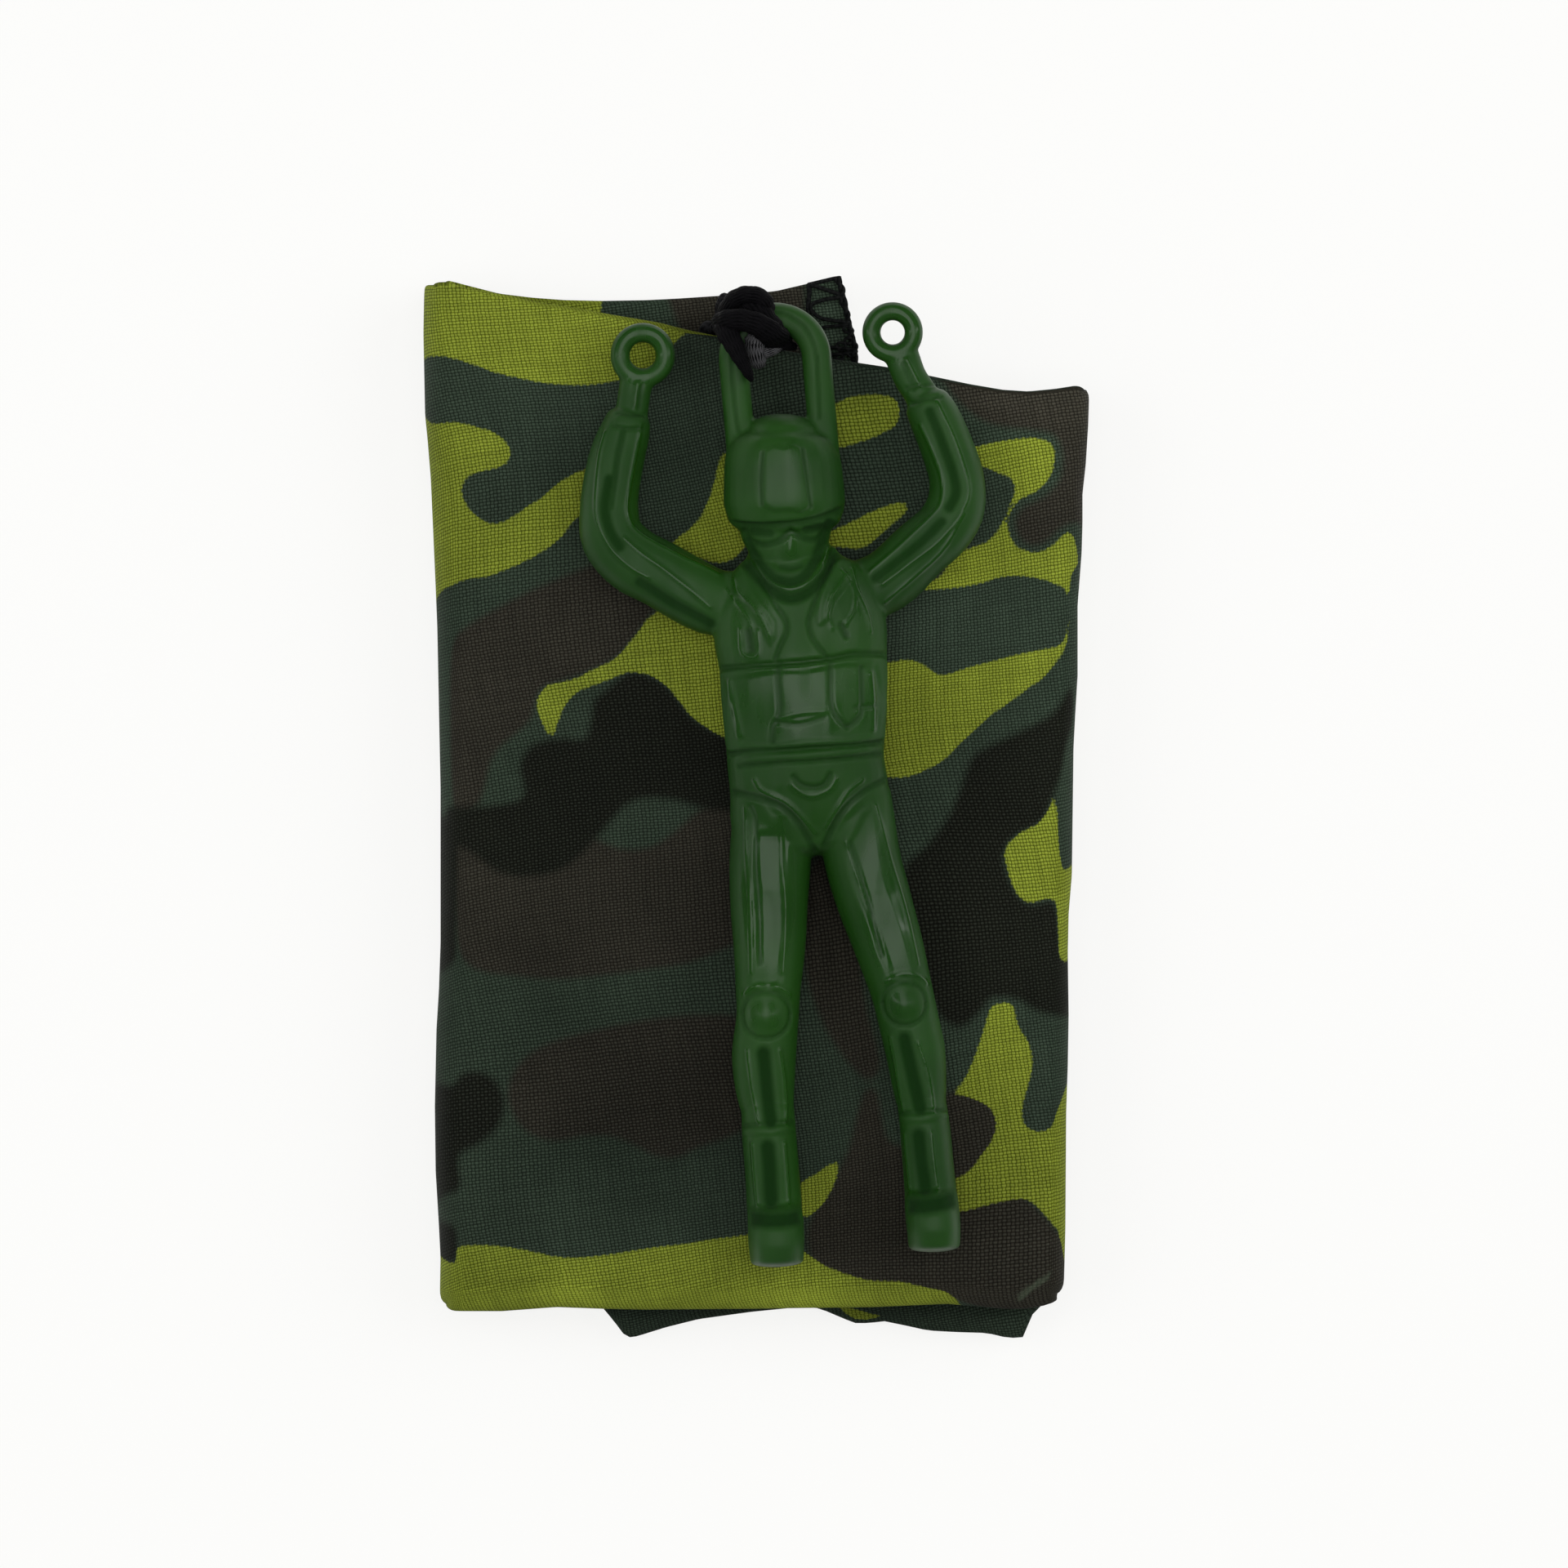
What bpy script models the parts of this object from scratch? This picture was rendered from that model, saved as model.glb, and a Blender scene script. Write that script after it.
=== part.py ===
"""Toy parachute: a folded cloth canopy with a moulded paratrooper tied on by four lines.

The folded packet lies flat on z = 0 with its long side along Y. The canopy is folded like a
book whose spine is the left edge. The four lines lie in the pocket between its two covers,
come out at the top of the book and are knotted round the loop on the figure's helmet.
"""
import math

import bmesh
import bpy
from mathutils import Matrix, Vector

MM = 0.001

# Driving dimensions of the folded canopy
PACKET_WIDTH = 66.0 * MM
PACKET_LENGTH = 105.0 * MM
BACK_THICKNESS = 3.8 * MM
FRONT_THICKNESS = 3.6 * MM
POCKET_HEIGHT = 3.2 * MM
EDGE_ROUND_WIDTH = 2.6 * MM
HEM_WIDTH = 3.6 * MM
HEM_THICKNESS = 1.2 * MM
CLEARANCE = 0.3 * MM

# Driving dimensions of the lines and their knots
LINE_DIAMETER = 1.3 * MM
LINE_GAP = 0.5 * MM
FOLD_INNER_RADIUS = 3.9 * MM
TOP_TURN_PLACE = 20.0 * MM
BOTTOM_TURN_PLACE = -36.0 * MM
FIRST_RUN_PLACE = 22.0 * MM
TIE_DIAMETER = 2.6 * MM
MOUTH_WIDTH = 10.0 * MM
KNOT_LENGTH = 5.2 * MM
KNOT_LAYER = 1.8 * MM
KNOT_OUTER_LAYER = 1.3 * MM
KNOT_INNER_LAYER = 1.1 * MM
KNOT_BALL_DROP = 1.2 * MM
KNOT_CLEARANCE = 0.4 * MM
KNOT_BEVEL = 1.3 * MM
KNOT_BALL_DIAMETER = 3.4 * MM

# Driving dimensions of the figure
FIGURE_HEIGHT = 95.0 * MM
LOOP_RADIUS = 4.1 * MM
LOOP_BAR_WIDTH = 2.9 * MM
LOOP_BAR_DEPTH = 3.0 * MM
LOOP_LEG_LENGTH = 10.0 * MM
LOOP_BAR_HEIGHT = 4.6 * MM
RING_DEPTH = 2.6 * MM
RING_HEIGHT = 3.6 * MM
LEFT_RING_DIAMETER = 6.4 * MM
RIGHT_RING_DIAMETER = 6.0 * MM
RING_HOLE_DIAMETER = 2.8 * MM
FIGURE_TILT = math.radians(4.9)

# Counts
LINE_COUNT = 4
TURN_COUNT = 3
LIMB_SIDES = 14
TORSO_SIDES = 20
BAR_SIDES = 10
EDGE_STEPS = 6
ARC_STEPS = 16
TURN_STEPS = 8
RUN_STEPS = 14
END_STEPS = 3
LINE_BEVEL_RESOLUTION = 1

# Levels that the pieces stack up to
FRONT_BOTTOM = BACK_THICKNESS + CLEARANCE
POCKET_TOP = BACK_THICKNESS + POCKET_HEIGHT
FRONT_TOP = POCKET_TOP + FRONT_THICKNESS
FIGURE_LEVEL = FRONT_TOP + CLEARANCE
LINE_LEVEL = BACK_THICKNESS + CLEARANCE + LINE_DIAMETER / 2
TIE_LEVEL = BACK_THICKNESS + CLEARANCE + TIE_DIAMETER / 2
HINGE_LEVEL = BACK_THICKNESS + CLEARANCE / 2
LINE_PITCH = LINE_DIAMETER + LINE_GAP

# Centre of the loop's arch, as shares of the packet's width and length from its middle
ARCH_PLACE_SHARES = (0.0281, 0.4216)

# Outlines of the two covers, anticlockwise, as shares of the packet's width and length
FRONT_OUTLINE_SHARES = (
    (-0.472, -0.473), (0.0, -0.476), (0.457, -0.473), (0.465, -0.162), (0.479, 0.107),
    (0.500, 0.391), (0.484, 0.398), (0.380, 0.392), (0.276, 0.403), (0.111, 0.422),
    (-0.055, 0.4416), (-0.198, 0.463), (-0.306, 0.471), (-0.484, 0.4946), (-0.496, 0.3756),
    (-0.480, 0.222), (-0.474, -0.008), (-0.480, -0.162), (-0.4817, -0.3157),
)
BACK_OUTLINE_SHARES = (
    (-0.470, -0.469), (-0.227, -0.474), (-0.1846, -0.5), (-0.093, -0.4885), (0.0, -0.478),
    (0.127, -0.476), (0.176, -0.4846), (0.3105, -0.4885), (0.402, -0.5), (0.416, -0.469),
    (0.455, -0.466), (0.459, -0.162), (0.473, 0.107), (0.490, 0.388), (0.340, 0.396),
    (0.170, 0.412), (0.1516, 0.4217), (0.127, 0.498), (0.029, 0.4908), (-0.081, 0.479),
    (-0.227, 0.477), (-0.386, 0.4846), (-0.496, 0.5), (-0.5, 0.3756), (-0.484, 0.222),
    (-0.478, -0.008), (-0.484, -0.162), (-0.486, -0.3157),
)
POCKET_OUTLINE_SHARES = (
    (-0.415, -0.440), (0.425, -0.440), (0.435, 0.300), (0.420, 0.355), (0.190, 0.365),
    (0.120, 0.385), (0.000, 0.410), (-0.215, 0.420), (-0.360, 0.350), (-0.415, 0.200),
)
HEM_ROUTE_SHARES = ((0.100, 0.487), (0.106, 0.470), (0.112, 0.452), (0.117, 0.434))
TIE_PLACE_SHARES = ((0.264, 0.330), (0.310, 0.338), (0.356, 0.338), (0.403, 0.330))

# The last stretch of each line, chosen by hand: up the packet, out of the mouth and up to
# the knot, as sideways and lengthways places with a height, for the middle of the bundle
LAST_STRETCH = (
    (-17.0 * MM, 14.0 * MM, LINE_LEVEL), (-16.4 * MM, 24.0 * MM, LINE_LEVEL),
    (-12.6 * MM, 33.5 * MM, LINE_LEVEL), (-6.6 * MM, 40.2 * MM, LINE_LEVEL),
    (-3.4 * MM, 44.4 * MM, LINE_LEVEL), (-2.4 * MM, 47.2 * MM, LINE_LEVEL + 0.7 * MM),
)

# How the bundle comes up to the knot, and where its lines lie in it, in line pitches
APPROACH_SHARES = (0.05, 0.30, 0.95)
BUNDLE_SHARES = ((0.5, 0.62), (0.5, -0.62), (-0.5, -0.62), (-0.5, 0.62))
GATHER_SHARES = (0.0, 0.0, 0.0, 0.0, 0.0, 0.35, 0.8, 1.0)
STRAIGHT_SHARES = (0.45, 0.35, 0.0, -0.5)

# Figure stations: sideways, lengthways, half width, height of the middle, half depth.
# All are shares of the figure's height, from the middle of the loop's arch.
HELMET_SHARES = (
    (0.002, -0.074, 0.048, 0.052, 0.037), (0.001, -0.084, 0.0565, 0.052, 0.046),
    (-0.001, -0.102, 0.0600, 0.052, 0.0505), (-0.002, -0.128, 0.0622, 0.052, 0.0515),
    (-0.003, -0.150, 0.0630, 0.052, 0.0515), (-0.004, -0.163, 0.0600, 0.052, 0.048),
)
FACE_SHARES = (
    (-0.004, -0.155, 0.0500, 0.047, 0.042), (-0.004, -0.175, 0.0480, 0.046, 0.041),
    (-0.004, -0.191, 0.0440, 0.046, 0.040), (-0.005, -0.212, 0.0330, 0.046, 0.037),
    (-0.006, -0.230, 0.0190, 0.050, 0.030),
)
TORSO_SHARES = (
    (0.000, -0.205, 0.048, 0.046, 0.030), (0.000, -0.220, 0.066, 0.048, 0.040),
    (0.002, -0.247, 0.083, 0.050, 0.047), (0.002, -0.281, 0.0900, 0.051, 0.050),
    (0.002, -0.320, 0.0872, 0.051, 0.050), (0.000, -0.358, 0.0857, 0.051, 0.050),
    (-0.003, -0.402, 0.0823, 0.050, 0.048), (-0.004, -0.421, 0.0815, 0.049, 0.047),
    (-0.003, -0.447, 0.0823, 0.047, 0.045), (-0.003, -0.477, 0.0840, 0.044, 0.041),
    (-0.001, -0.500, 0.0780, 0.041, 0.036),
)
LEFT_ARM_SHARES = (
    (-0.050, -0.250, 0.0323, 0.040, 0.031), (-0.088, -0.245, 0.0350, 0.040, 0.032),
    (-0.137, -0.213, 0.0348, 0.040, 0.031), (-0.165, -0.195, 0.0348, 0.040, 0.031),
    (-0.184, -0.170, 0.0331, 0.040, 0.031), (-0.185, -0.142, 0.0306, 0.040, 0.030),
    (-0.181, -0.118, 0.0297, 0.040, 0.029), (-0.172, -0.087, 0.0289, 0.040, 0.028),
    (-0.162, -0.063, 0.0263, 0.040, 0.026), (-0.157, -0.050, 0.0235, 0.040, 0.023),
)
LEFT_WRIST_SHARES = (
    (-0.157, -0.058, 0.0170, 0.039, 0.0150), (-0.152, -0.038, 0.0170, 0.039, 0.0150),
    (-0.147, -0.017, 0.0170, 0.039, 0.0140), (-0.143, -0.007, 0.0185, 0.039, 0.0130),
)
RIGHT_ARM_SHARES = (
    (0.050, -0.252, 0.0323, 0.040, 0.031), (0.095, -0.240, 0.0330, 0.040, 0.031),
    (0.132, -0.211, 0.0318, 0.040, 0.030), (0.159, -0.191, 0.0312, 0.040, 0.030),
    (0.174, -0.168, 0.0306, 0.040, 0.030), (0.177, -0.137, 0.0285, 0.040, 0.029),
    (0.168, -0.100, 0.0275, 0.040, 0.028), (0.159, -0.073, 0.0263, 0.040, 0.026),
    (0.153, -0.060, 0.0240, 0.040, 0.023),
)
RIGHT_WRIST_SHARES = (
    (0.154, -0.068, 0.0180, 0.039, 0.0150), (0.147, -0.048, 0.0175, 0.039, 0.0150),
    (0.138, -0.031, 0.0175, 0.039, 0.0140), (0.132, -0.010, 0.0180, 0.039, 0.0130),
)
LEFT_LEG_SHARES = (
    (-0.041, -0.455, 0.0407, 0.042, 0.037), (-0.049, -0.515, 0.0424, 0.041, 0.038),
    (-0.054, -0.558, 0.0407, 0.040, 0.036), (-0.058, -0.609, 0.0374, 0.039, 0.034),
    (-0.063, -0.651, 0.0338, 0.038, 0.033), (-0.066, -0.680, 0.0325, 0.038, 0.033),
    (-0.073, -0.718, 0.0335, 0.037, 0.031), (-0.075, -0.752, 0.0310, 0.036, 0.030),
    (-0.074, -0.780, 0.0268, 0.036, 0.028),
)
LEFT_BOOT_SHARES = (
    (-0.074, -0.776, 0.0275, 0.037, 0.030), (-0.075, -0.805, 0.0283, 0.037, 0.031),
    (-0.075, -0.845, 0.0283, 0.037, 0.031), (-0.076, -0.880, 0.0288, 0.036, 0.030),
)
LEFT_FOOT_SHARES = (
    (-0.076, -0.872, 0.0270, 0.034, 0.026), (-0.076, -0.890, 0.0290, 0.044, 0.034),
    (-0.077, -0.914, 0.0290, 0.052, 0.040), (-0.078, -0.930, 0.0280, 0.050, 0.038),
)
RIGHT_LEG_SHARES = (
    (0.041, -0.460, 0.0407, 0.042, 0.037), (0.046, -0.524, 0.0399, 0.041, 0.038),
    (0.054, -0.567, 0.0390, 0.040, 0.036), (0.066, -0.619, 0.0357, 0.039, 0.034),
    (0.075, -0.665, 0.0322, 0.038, 0.033), (0.081, -0.707, 0.0314, 0.038, 0.032),
    (0.084, -0.731, 0.0310, 0.037, 0.031), (0.085, -0.766, 0.0280, 0.036, 0.029),
    (0.086, -0.789, 0.0245, 0.036, 0.027),
)
RIGHT_BOOT_SHARES = (
    (0.086, -0.785, 0.0255, 0.037, 0.029), (0.087, -0.810, 0.0262, 0.037, 0.030),
    (0.087, -0.845, 0.0265, 0.037, 0.030), (0.087, -0.880, 0.0272, 0.036, 0.029),
)
RIGHT_FOOT_SHARES = (
    (0.087, -0.872, 0.0260, 0.034, 0.026), (0.087, -0.890, 0.0280, 0.044, 0.034),
    (0.087, -0.912, 0.0280, 0.052, 0.040), (0.086, -0.929, 0.0272, 0.050, 0.038),
)

# Raised blocks and pads: middle and half sizes, as shares of the figure's height
RESERVE_PACK_SHARES = ((0.000, -0.3605, 0.085), (0.0835, 0.0405, 0.028))
BELT_SHARES = ((-0.003, -0.417, 0.053), (0.0840, 0.0075, 0.050))
LEFT_POUCH_SHARES = ((-0.046, -0.288, 0.086), (0.027, 0.022, 0.022))
RIGHT_POUCH_SHARES = ((0.050, -0.286, 0.086), (0.027, 0.022, 0.022))
GOGGLES_SHARES = ((-0.004, -0.1765, 0.083), (0.0430, 0.0100, 0.010))
LEFT_KNEE_SHARES = ((-0.067, -0.677, 0.055), (0.0229, 0.0246, 0.024))
RIGHT_KNEE_SHARES = ((0.077, -0.676, 0.055), (0.0221, 0.0229, 0.024))
BLOCK_BEVEL_SHARE = 0.009
LEFT_RING_PLACE_SHARES = (-0.1365, 0.0155)
RIGHT_RING_PLACE_SHARES = (0.1240, 0.0170)

# How far round the arch the knot sits, measured anticlockwise from its top
KNOT_TURN = math.radians(33.0)
BODY_ROUNDNESS = 2.5
BAR_ROUNDNESS = 3.4

PLASTIC_COLOUR = (0.045, 0.130, 0.036, 1.0)
CLOTH_COLOUR = (0.060, 0.080, 0.040, 1.0)
HEM_COLOUR = (0.012, 0.014, 0.013, 1.0)
CORD_COLOUR = (0.008, 0.008, 0.009, 1.0)


def clear_scene():
    for item in list(bpy.data.objects):
        bpy.data.objects.remove(item, do_unlink=True)


def material(name, colour, roughness):
    made = bpy.data.materials.new(name)
    made.use_nodes = True
    shader = made.node_tree.nodes["Principled BSDF"]
    shader.inputs["Base Color"].default_value = colour
    shader.inputs["Roughness"].default_value = roughness
    shader.inputs["Metallic"].default_value = 0.0
    return made


def add_object(name, mesh, finish=None, parent=None):
    made = bpy.data.objects.new(name, mesh)
    bpy.context.scene.collection.objects.link(made)
    if finish:
        mesh.materials.append(finish)
    made.parent = parent
    return made


def add_guide(name, place, turn=0.0):
    guide = bpy.data.objects.new(name, None)
    bpy.context.scene.collection.objects.link(guide)
    guide.location = place
    guide.rotation_euler = (0.0, 0.0, turn)
    return guide


def ring_faces(rings, closed_path):
    """Faces that join equal rings of vertices, with flat caps on an open path."""
    faces = []
    count = len(rings[0])
    last = len(rings) if closed_path else len(rings) - 1
    for k in range(last):
        here = rings[k]
        there = rings[(k + 1) % len(rings)]
        for i in range(count):
            j = (i + 1) % count
            faces.append((here[i], here[j], there[j], there[i]))
    if not closed_path:
        faces.append(tuple(reversed(rings[0])))
        faces.append(tuple(rings[-1]))
    return faces


def mesh_from_rings(name, rings, closed_path=False):
    mesh = bpy.data.meshes.new(name)
    shape = bmesh.new()
    made = [[shape.verts.new(point) for point in ring] for ring in rings]
    for face in ring_faces(made, closed_path):
        shape.faces.new(face)
    bmesh.ops.recalc_face_normals(shape, faces=shape.faces)
    shape.to_mesh(mesh)
    shape.free()
    mesh.shade_smooth()
    mesh.set_sharp_from_angle(angle=math.radians(40))
    return mesh


def rounded_section(sides, roundness):
    """Unit points of a rounded rectangle, from an ellipse at 2 to a square as it grows."""
    points = []
    for i in range(sides):
        turn = 2 * math.pi * (i + 0.5) / sides
        c, s = math.cos(turn), math.sin(turn)
        reach = (abs(c) ** roundness + abs(s) ** roundness) ** (-1 / roundness)
        points.append((c * reach, s * reach))
    return points


def loft_mesh(name, stations, sides=LIMB_SIDES, roundness=BODY_ROUNDNESS):
    """A body along stations (x, y, half width, middle height, half depth) with round ends."""
    section = rounded_section(sides, roundness)
    middles = [Vector((s[0], s[1], s[3])) for s in stations]
    rings = []
    for k, (x, y, half_width, height, half_depth) in enumerate(stations):
        ahead = (middles[min(k + 1, len(middles) - 1)] - middles[max(k - 1, 0)])
        ahead.z = 0.0
        ahead.normalize()
        across = Vector((ahead.y, -ahead.x, 0.0))
        steps = range(1)
        if k == 0:
            steps = range(-END_STEPS, 1)
        elif k == len(stations) - 1:
            steps = range(0, END_STEPS + 1)
        for step in steps:
            lean = abs(step) / (END_STEPS + 0.35) * math.pi / 2
            scale = math.cos(lean)
            push = math.copysign(math.sin(lean), step) * min(half_width, half_depth) / 2
            middle = middles[k] + ahead * push
            rings.append([middle + across * (a * half_width * scale)
                          + Vector((0.0, 0.0, b * half_depth * scale)) for a, b in section])
    return mesh_from_rings(name, rings)


def sweep_mesh(name, route, half_width, half_depth, sides, closed_path, level):
    """A bar of constant section along flat points (x, y), at one level."""
    section = rounded_section(sides, BAR_ROUNDNESS)
    rings = []
    count = len(route)
    for k, point in enumerate(route):
        before = route[(k - 1) % count] if closed_path or k else point
        after = route[(k + 1) % count] if closed_path or k < count - 1 else point
        ahead = (Vector(after) - Vector(before)).normalized()
        across = Vector((ahead.y, -ahead.x, 0.0))
        middle = Vector((point[0], point[1], level))
        rings.append([middle + across * (a * half_width) + Vector((0.0, 0.0, b * half_depth))
                      for a, b in section])
    return mesh_from_rings(name, rings, closed_path)


def arch_point(turn, radius=LOOP_RADIUS):
    """A point of the loop's arch, turned anticlockwise from its top."""
    return (-math.sin(turn) * radius, math.cos(turn) * radius)


def arc_route(start, end, steps, radius=LOOP_RADIUS):
    return [arch_point(start + (end - start) * k / steps, radius) for k in range(steps + 1)]


def scaled(stations):
    return [tuple(value * FIGURE_HEIGHT for value in station) for station in stations]


def bevelled_block(name, middle, half, bevel, turn=0.0):
    """A block with rounded edges, from its middle and half sizes."""
    mesh = bpy.data.meshes.new(name)
    shape = bmesh.new()
    bmesh.ops.create_cube(shape, size=2.0)
    bmesh.ops.transform(shape, matrix=Matrix.Diagonal((*half, 1.0)), verts=shape.verts)
    bmesh.ops.bevel(shape, geom=list(shape.edges), offset=bevel, segments=2, profile=0.5,
                    affect='EDGES', clamp_overlap=True)
    bmesh.ops.transform(shape, matrix=Matrix.Rotation(turn, 4, 'Z'), verts=shape.verts)
    bmesh.ops.translate(shape, vec=middle, verts=shape.verts)
    shape.to_mesh(mesh)
    shape.free()
    return mesh


def block_mesh(name, shares):
    middle, half = [Vector(row) * FIGURE_HEIGHT for row in shares]
    return bevelled_block(name, middle, half, BLOCK_BEVEL_SHARE * FIGURE_HEIGHT)


def ball_mesh(name, middle, radius):
    mesh = bpy.data.meshes.new(name)
    shape = bmesh.new()
    bmesh.ops.create_uvsphere(shape, u_segments=LIMB_SIDES, v_segments=8, radius=radius)
    bmesh.ops.translate(shape, vec=middle, verts=shape.verts)
    shape.to_mesh(mesh)
    shape.free()
    mesh.shade_smooth()
    return mesh


def pad_mesh(name, shares):
    """A round pad from its middle and half sizes."""
    middle, half = [Vector(row) * FIGURE_HEIGHT for row in shares]
    mesh = bpy.data.meshes.new(name)
    shape = bmesh.new()
    bmesh.ops.create_uvsphere(shape, u_segments=LIMB_SIDES, v_segments=8, radius=1.0)
    bmesh.ops.transform(shape, matrix=Matrix.Diagonal((*half, 1.0)), verts=shape.verts)
    bmesh.ops.translate(shape, vec=middle, verts=shape.verts)
    shape.to_mesh(mesh)
    shape.free()
    return mesh


def ring_hand_mesh(name, place_shares, outer_diameter):
    """The fist: a flat ring with a hole to hold on by."""
    outer = outer_diameter / 2
    hole = RING_HOLE_DIAMETER / 2
    middle = Vector(place_shares) * FIGURE_HEIGHT
    radius = (outer + hole) / 2
    route = [(middle.x + math.cos(2 * math.pi * k / ARC_STEPS) * radius,
              middle.y + math.sin(2 * math.pi * k / ARC_STEPS) * radius)
             for k in range(ARC_STEPS)]
    return sweep_mesh(name, route, (outer - hole) / 2, RING_DEPTH / 2, BAR_SIDES, True,
                      RING_HEIGHT)


def loop_mesh():
    """The tall loop that rises from the helmet."""
    arch = arc_route(math.pi / 2, -math.pi / 2, ARC_STEPS)
    left_foot = (arch[0][0], -LOOP_LEG_LENGTH)
    right_foot = (arch[-1][0], -LOOP_LEG_LENGTH)
    route = [left_foot] + arch + [right_foot]
    return sweep_mesh("loop", route, LOOP_BAR_WIDTH / 2, LOOP_BAR_DEPTH / 2, BAR_SIDES, False,
                      LOOP_BAR_HEIGHT)


def join_solids(base, meshes, parent):
    """One body from a base object and meshes, each joined by an exact Boolean union."""
    for k, mesh in enumerate(meshes):
        tool = add_object("join_%02d_%s" % (k, mesh.name), mesh, parent=parent)
        tool.hide_render = True
        tool.display_type = 'WIRE'
        union = base.modifiers.new("join " + mesh.name, 'BOOLEAN')
        union.operation = 'UNION'
        union.solver = 'EXACT'
        union.object = tool


def make_figure(finish):
    place = (ARCH_PLACE_SHARES[0] * PACKET_WIDTH, ARCH_PLACE_SHARES[1] * PACKET_LENGTH,
             FIGURE_LEVEL)
    guide = add_guide("figure_place", place, FIGURE_TILT)
    torso = loft_mesh("figure", scaled(TORSO_SHARES), sides=TORSO_SIDES)
    figure = add_object("figure", torso, finish, guide)
    limbs = [loft_mesh(name, scaled(stations)) for name, stations in (
        ("left_leg", LEFT_LEG_SHARES), ("right_leg", RIGHT_LEG_SHARES),
        ("left_boot", LEFT_BOOT_SHARES), ("right_boot", RIGHT_BOOT_SHARES),
        ("left_foot", LEFT_FOOT_SHARES), ("right_foot", RIGHT_FOOT_SHARES),
        ("left_arm", LEFT_ARM_SHARES), ("right_arm", RIGHT_ARM_SHARES),
        ("left_wrist", LEFT_WRIST_SHARES), ("right_wrist", RIGHT_WRIST_SHARES),
    )]
    head = [loft_mesh("face", scaled(FACE_SHARES), sides=TORSO_SIDES),
            loft_mesh("helmet", scaled(HELMET_SHARES), sides=TORSO_SIDES),
            loop_mesh()]
    hands = [ring_hand_mesh("left_hand", LEFT_RING_PLACE_SHARES, LEFT_RING_DIAMETER),
             ring_hand_mesh("right_hand", RIGHT_RING_PLACE_SHARES, RIGHT_RING_DIAMETER)]
    kit = [block_mesh("reserve_pack", RESERVE_PACK_SHARES), block_mesh("belt", BELT_SHARES),
           block_mesh("left_pouch", LEFT_POUCH_SHARES),
           block_mesh("right_pouch", RIGHT_POUCH_SHARES),
           block_mesh("goggles", GOGGLES_SHARES),
           pad_mesh("left_knee", LEFT_KNEE_SHARES), pad_mesh("right_knee", RIGHT_KNEE_SHARES)]
    join_solids(figure, limbs + head + hands + kit, guide)
    return guide


def cover_mesh(name, outline_shares, bottom, top):
    """A folded stack of cloth: flat above and below, with a rounded edge all round."""
    outline = [(x * PACKET_WIDTH, y * PACKET_LENGTH) for x, y in outline_shares]
    half_width = PACKET_WIDTH / 2
    half_length = PACKET_LENGTH / 2
    middle = (bottom + top) / 2
    half_height = (top - bottom) / 2
    rings = []
    for k in range(EDGE_STEPS + 1):
        turn = -math.pi / 2 + math.pi * k / EDGE_STEPS
        inset = EDGE_ROUND_WIDTH * (1 - math.cos(turn))
        level = middle + half_height * math.sin(turn)
        rings.append([Vector((x * (1 - inset / half_width), y * (1 - inset / half_length), level))
                      for x, y in outline])
    return mesh_from_rings(name, rings)


def cut_away(base, mesh, parent):
    """Takes a mesh out of a solid."""
    cutter = add_object(mesh.name, mesh, parent=parent)
    cutter.hide_render = True
    cutter.display_type = 'WIRE'
    cut = base.modifiers.new("cut " + mesh.name, 'BOOLEAN')
    cut.operation = 'DIFFERENCE'
    cut.solver = 'EXACT'
    cut.object = cutter


def prism_mesh(name, outline, bottom, top):
    return mesh_from_rings(name, [[Vector((x, y, bottom)) for x, y in outline],
                                  [Vector((x, y, top)) for x, y in outline]])


def make_covers(finish):
    """The two halves of the book, with the pocket for the lines under the upper one."""
    back = cover_mesh("canopy_back", BACK_OUTLINE_SHARES, 0.0, BACK_THICKNESS)
    add_object("canopy_back", back, finish)
    spine = add_guide("spine_hinge", (-PACKET_WIDTH / 2, 0.0, HINGE_LEVEL))
    to_spine = Matrix.Translation(-spine.location)
    front_mesh = cover_mesh("canopy_front", FRONT_OUTLINE_SHARES, FRONT_BOTTOM, FRONT_TOP)
    front_mesh.transform(to_spine)
    front = add_object("canopy_front", front_mesh, finish, spine)
    outline = [(x * PACKET_WIDTH, y * PACKET_LENGTH) for x, y in POCKET_OUTLINE_SHARES]
    mouth_x, mouth_y, _ = LAST_STRETCH[-2]
    mouth = [(mouth_x + side * MOUTH_WIDTH / 2, mouth_y + ahead * MOUTH_WIDTH)
             for side, ahead in ((-1, -1), (1, -1), (1, 1), (-1, 1))]
    pocket = prism_mesh("pocket", outline, 0.0, POCKET_TOP)
    pocket.transform(to_spine)
    opening = prism_mesh("pocket_mouth", mouth, -POCKET_HEIGHT, POCKET_TOP - CLEARANCE)
    opening.transform(to_spine)
    cut_away(front, pocket, spine)
    cut_away(front, opening, spine)
    return spine


def make_hem(finish):
    """The overlocked edge that shows on the ledge at the top of the packet."""
    route = [(x * PACKET_WIDTH, y * PACKET_LENGTH) for x, y in HEM_ROUTE_SHARES]
    level = BACK_THICKNESS + CLEARANCE + HEM_THICKNESS / 2
    mesh = sweep_mesh("canopy_hem", route, HEM_WIDTH / 2, HEM_THICKNESS / 2, BAR_SIDES, False,
                      level)
    add_object("canopy_hem", mesh, finish)


def knot_block_sizes():
    """Inner and outer reach of the knot from the arch's centre, and its half depth."""
    bore = LOOP_BAR_WIDTH / 2 + KNOT_CLEARANCE
    half_depth = LOOP_BAR_DEPTH / 2 + KNOT_CLEARANCE + KNOT_LAYER
    return LOOP_RADIUS - bore - KNOT_INNER_LAYER, LOOP_RADIUS + bore + KNOT_OUTER_LAYER, half_depth


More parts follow.
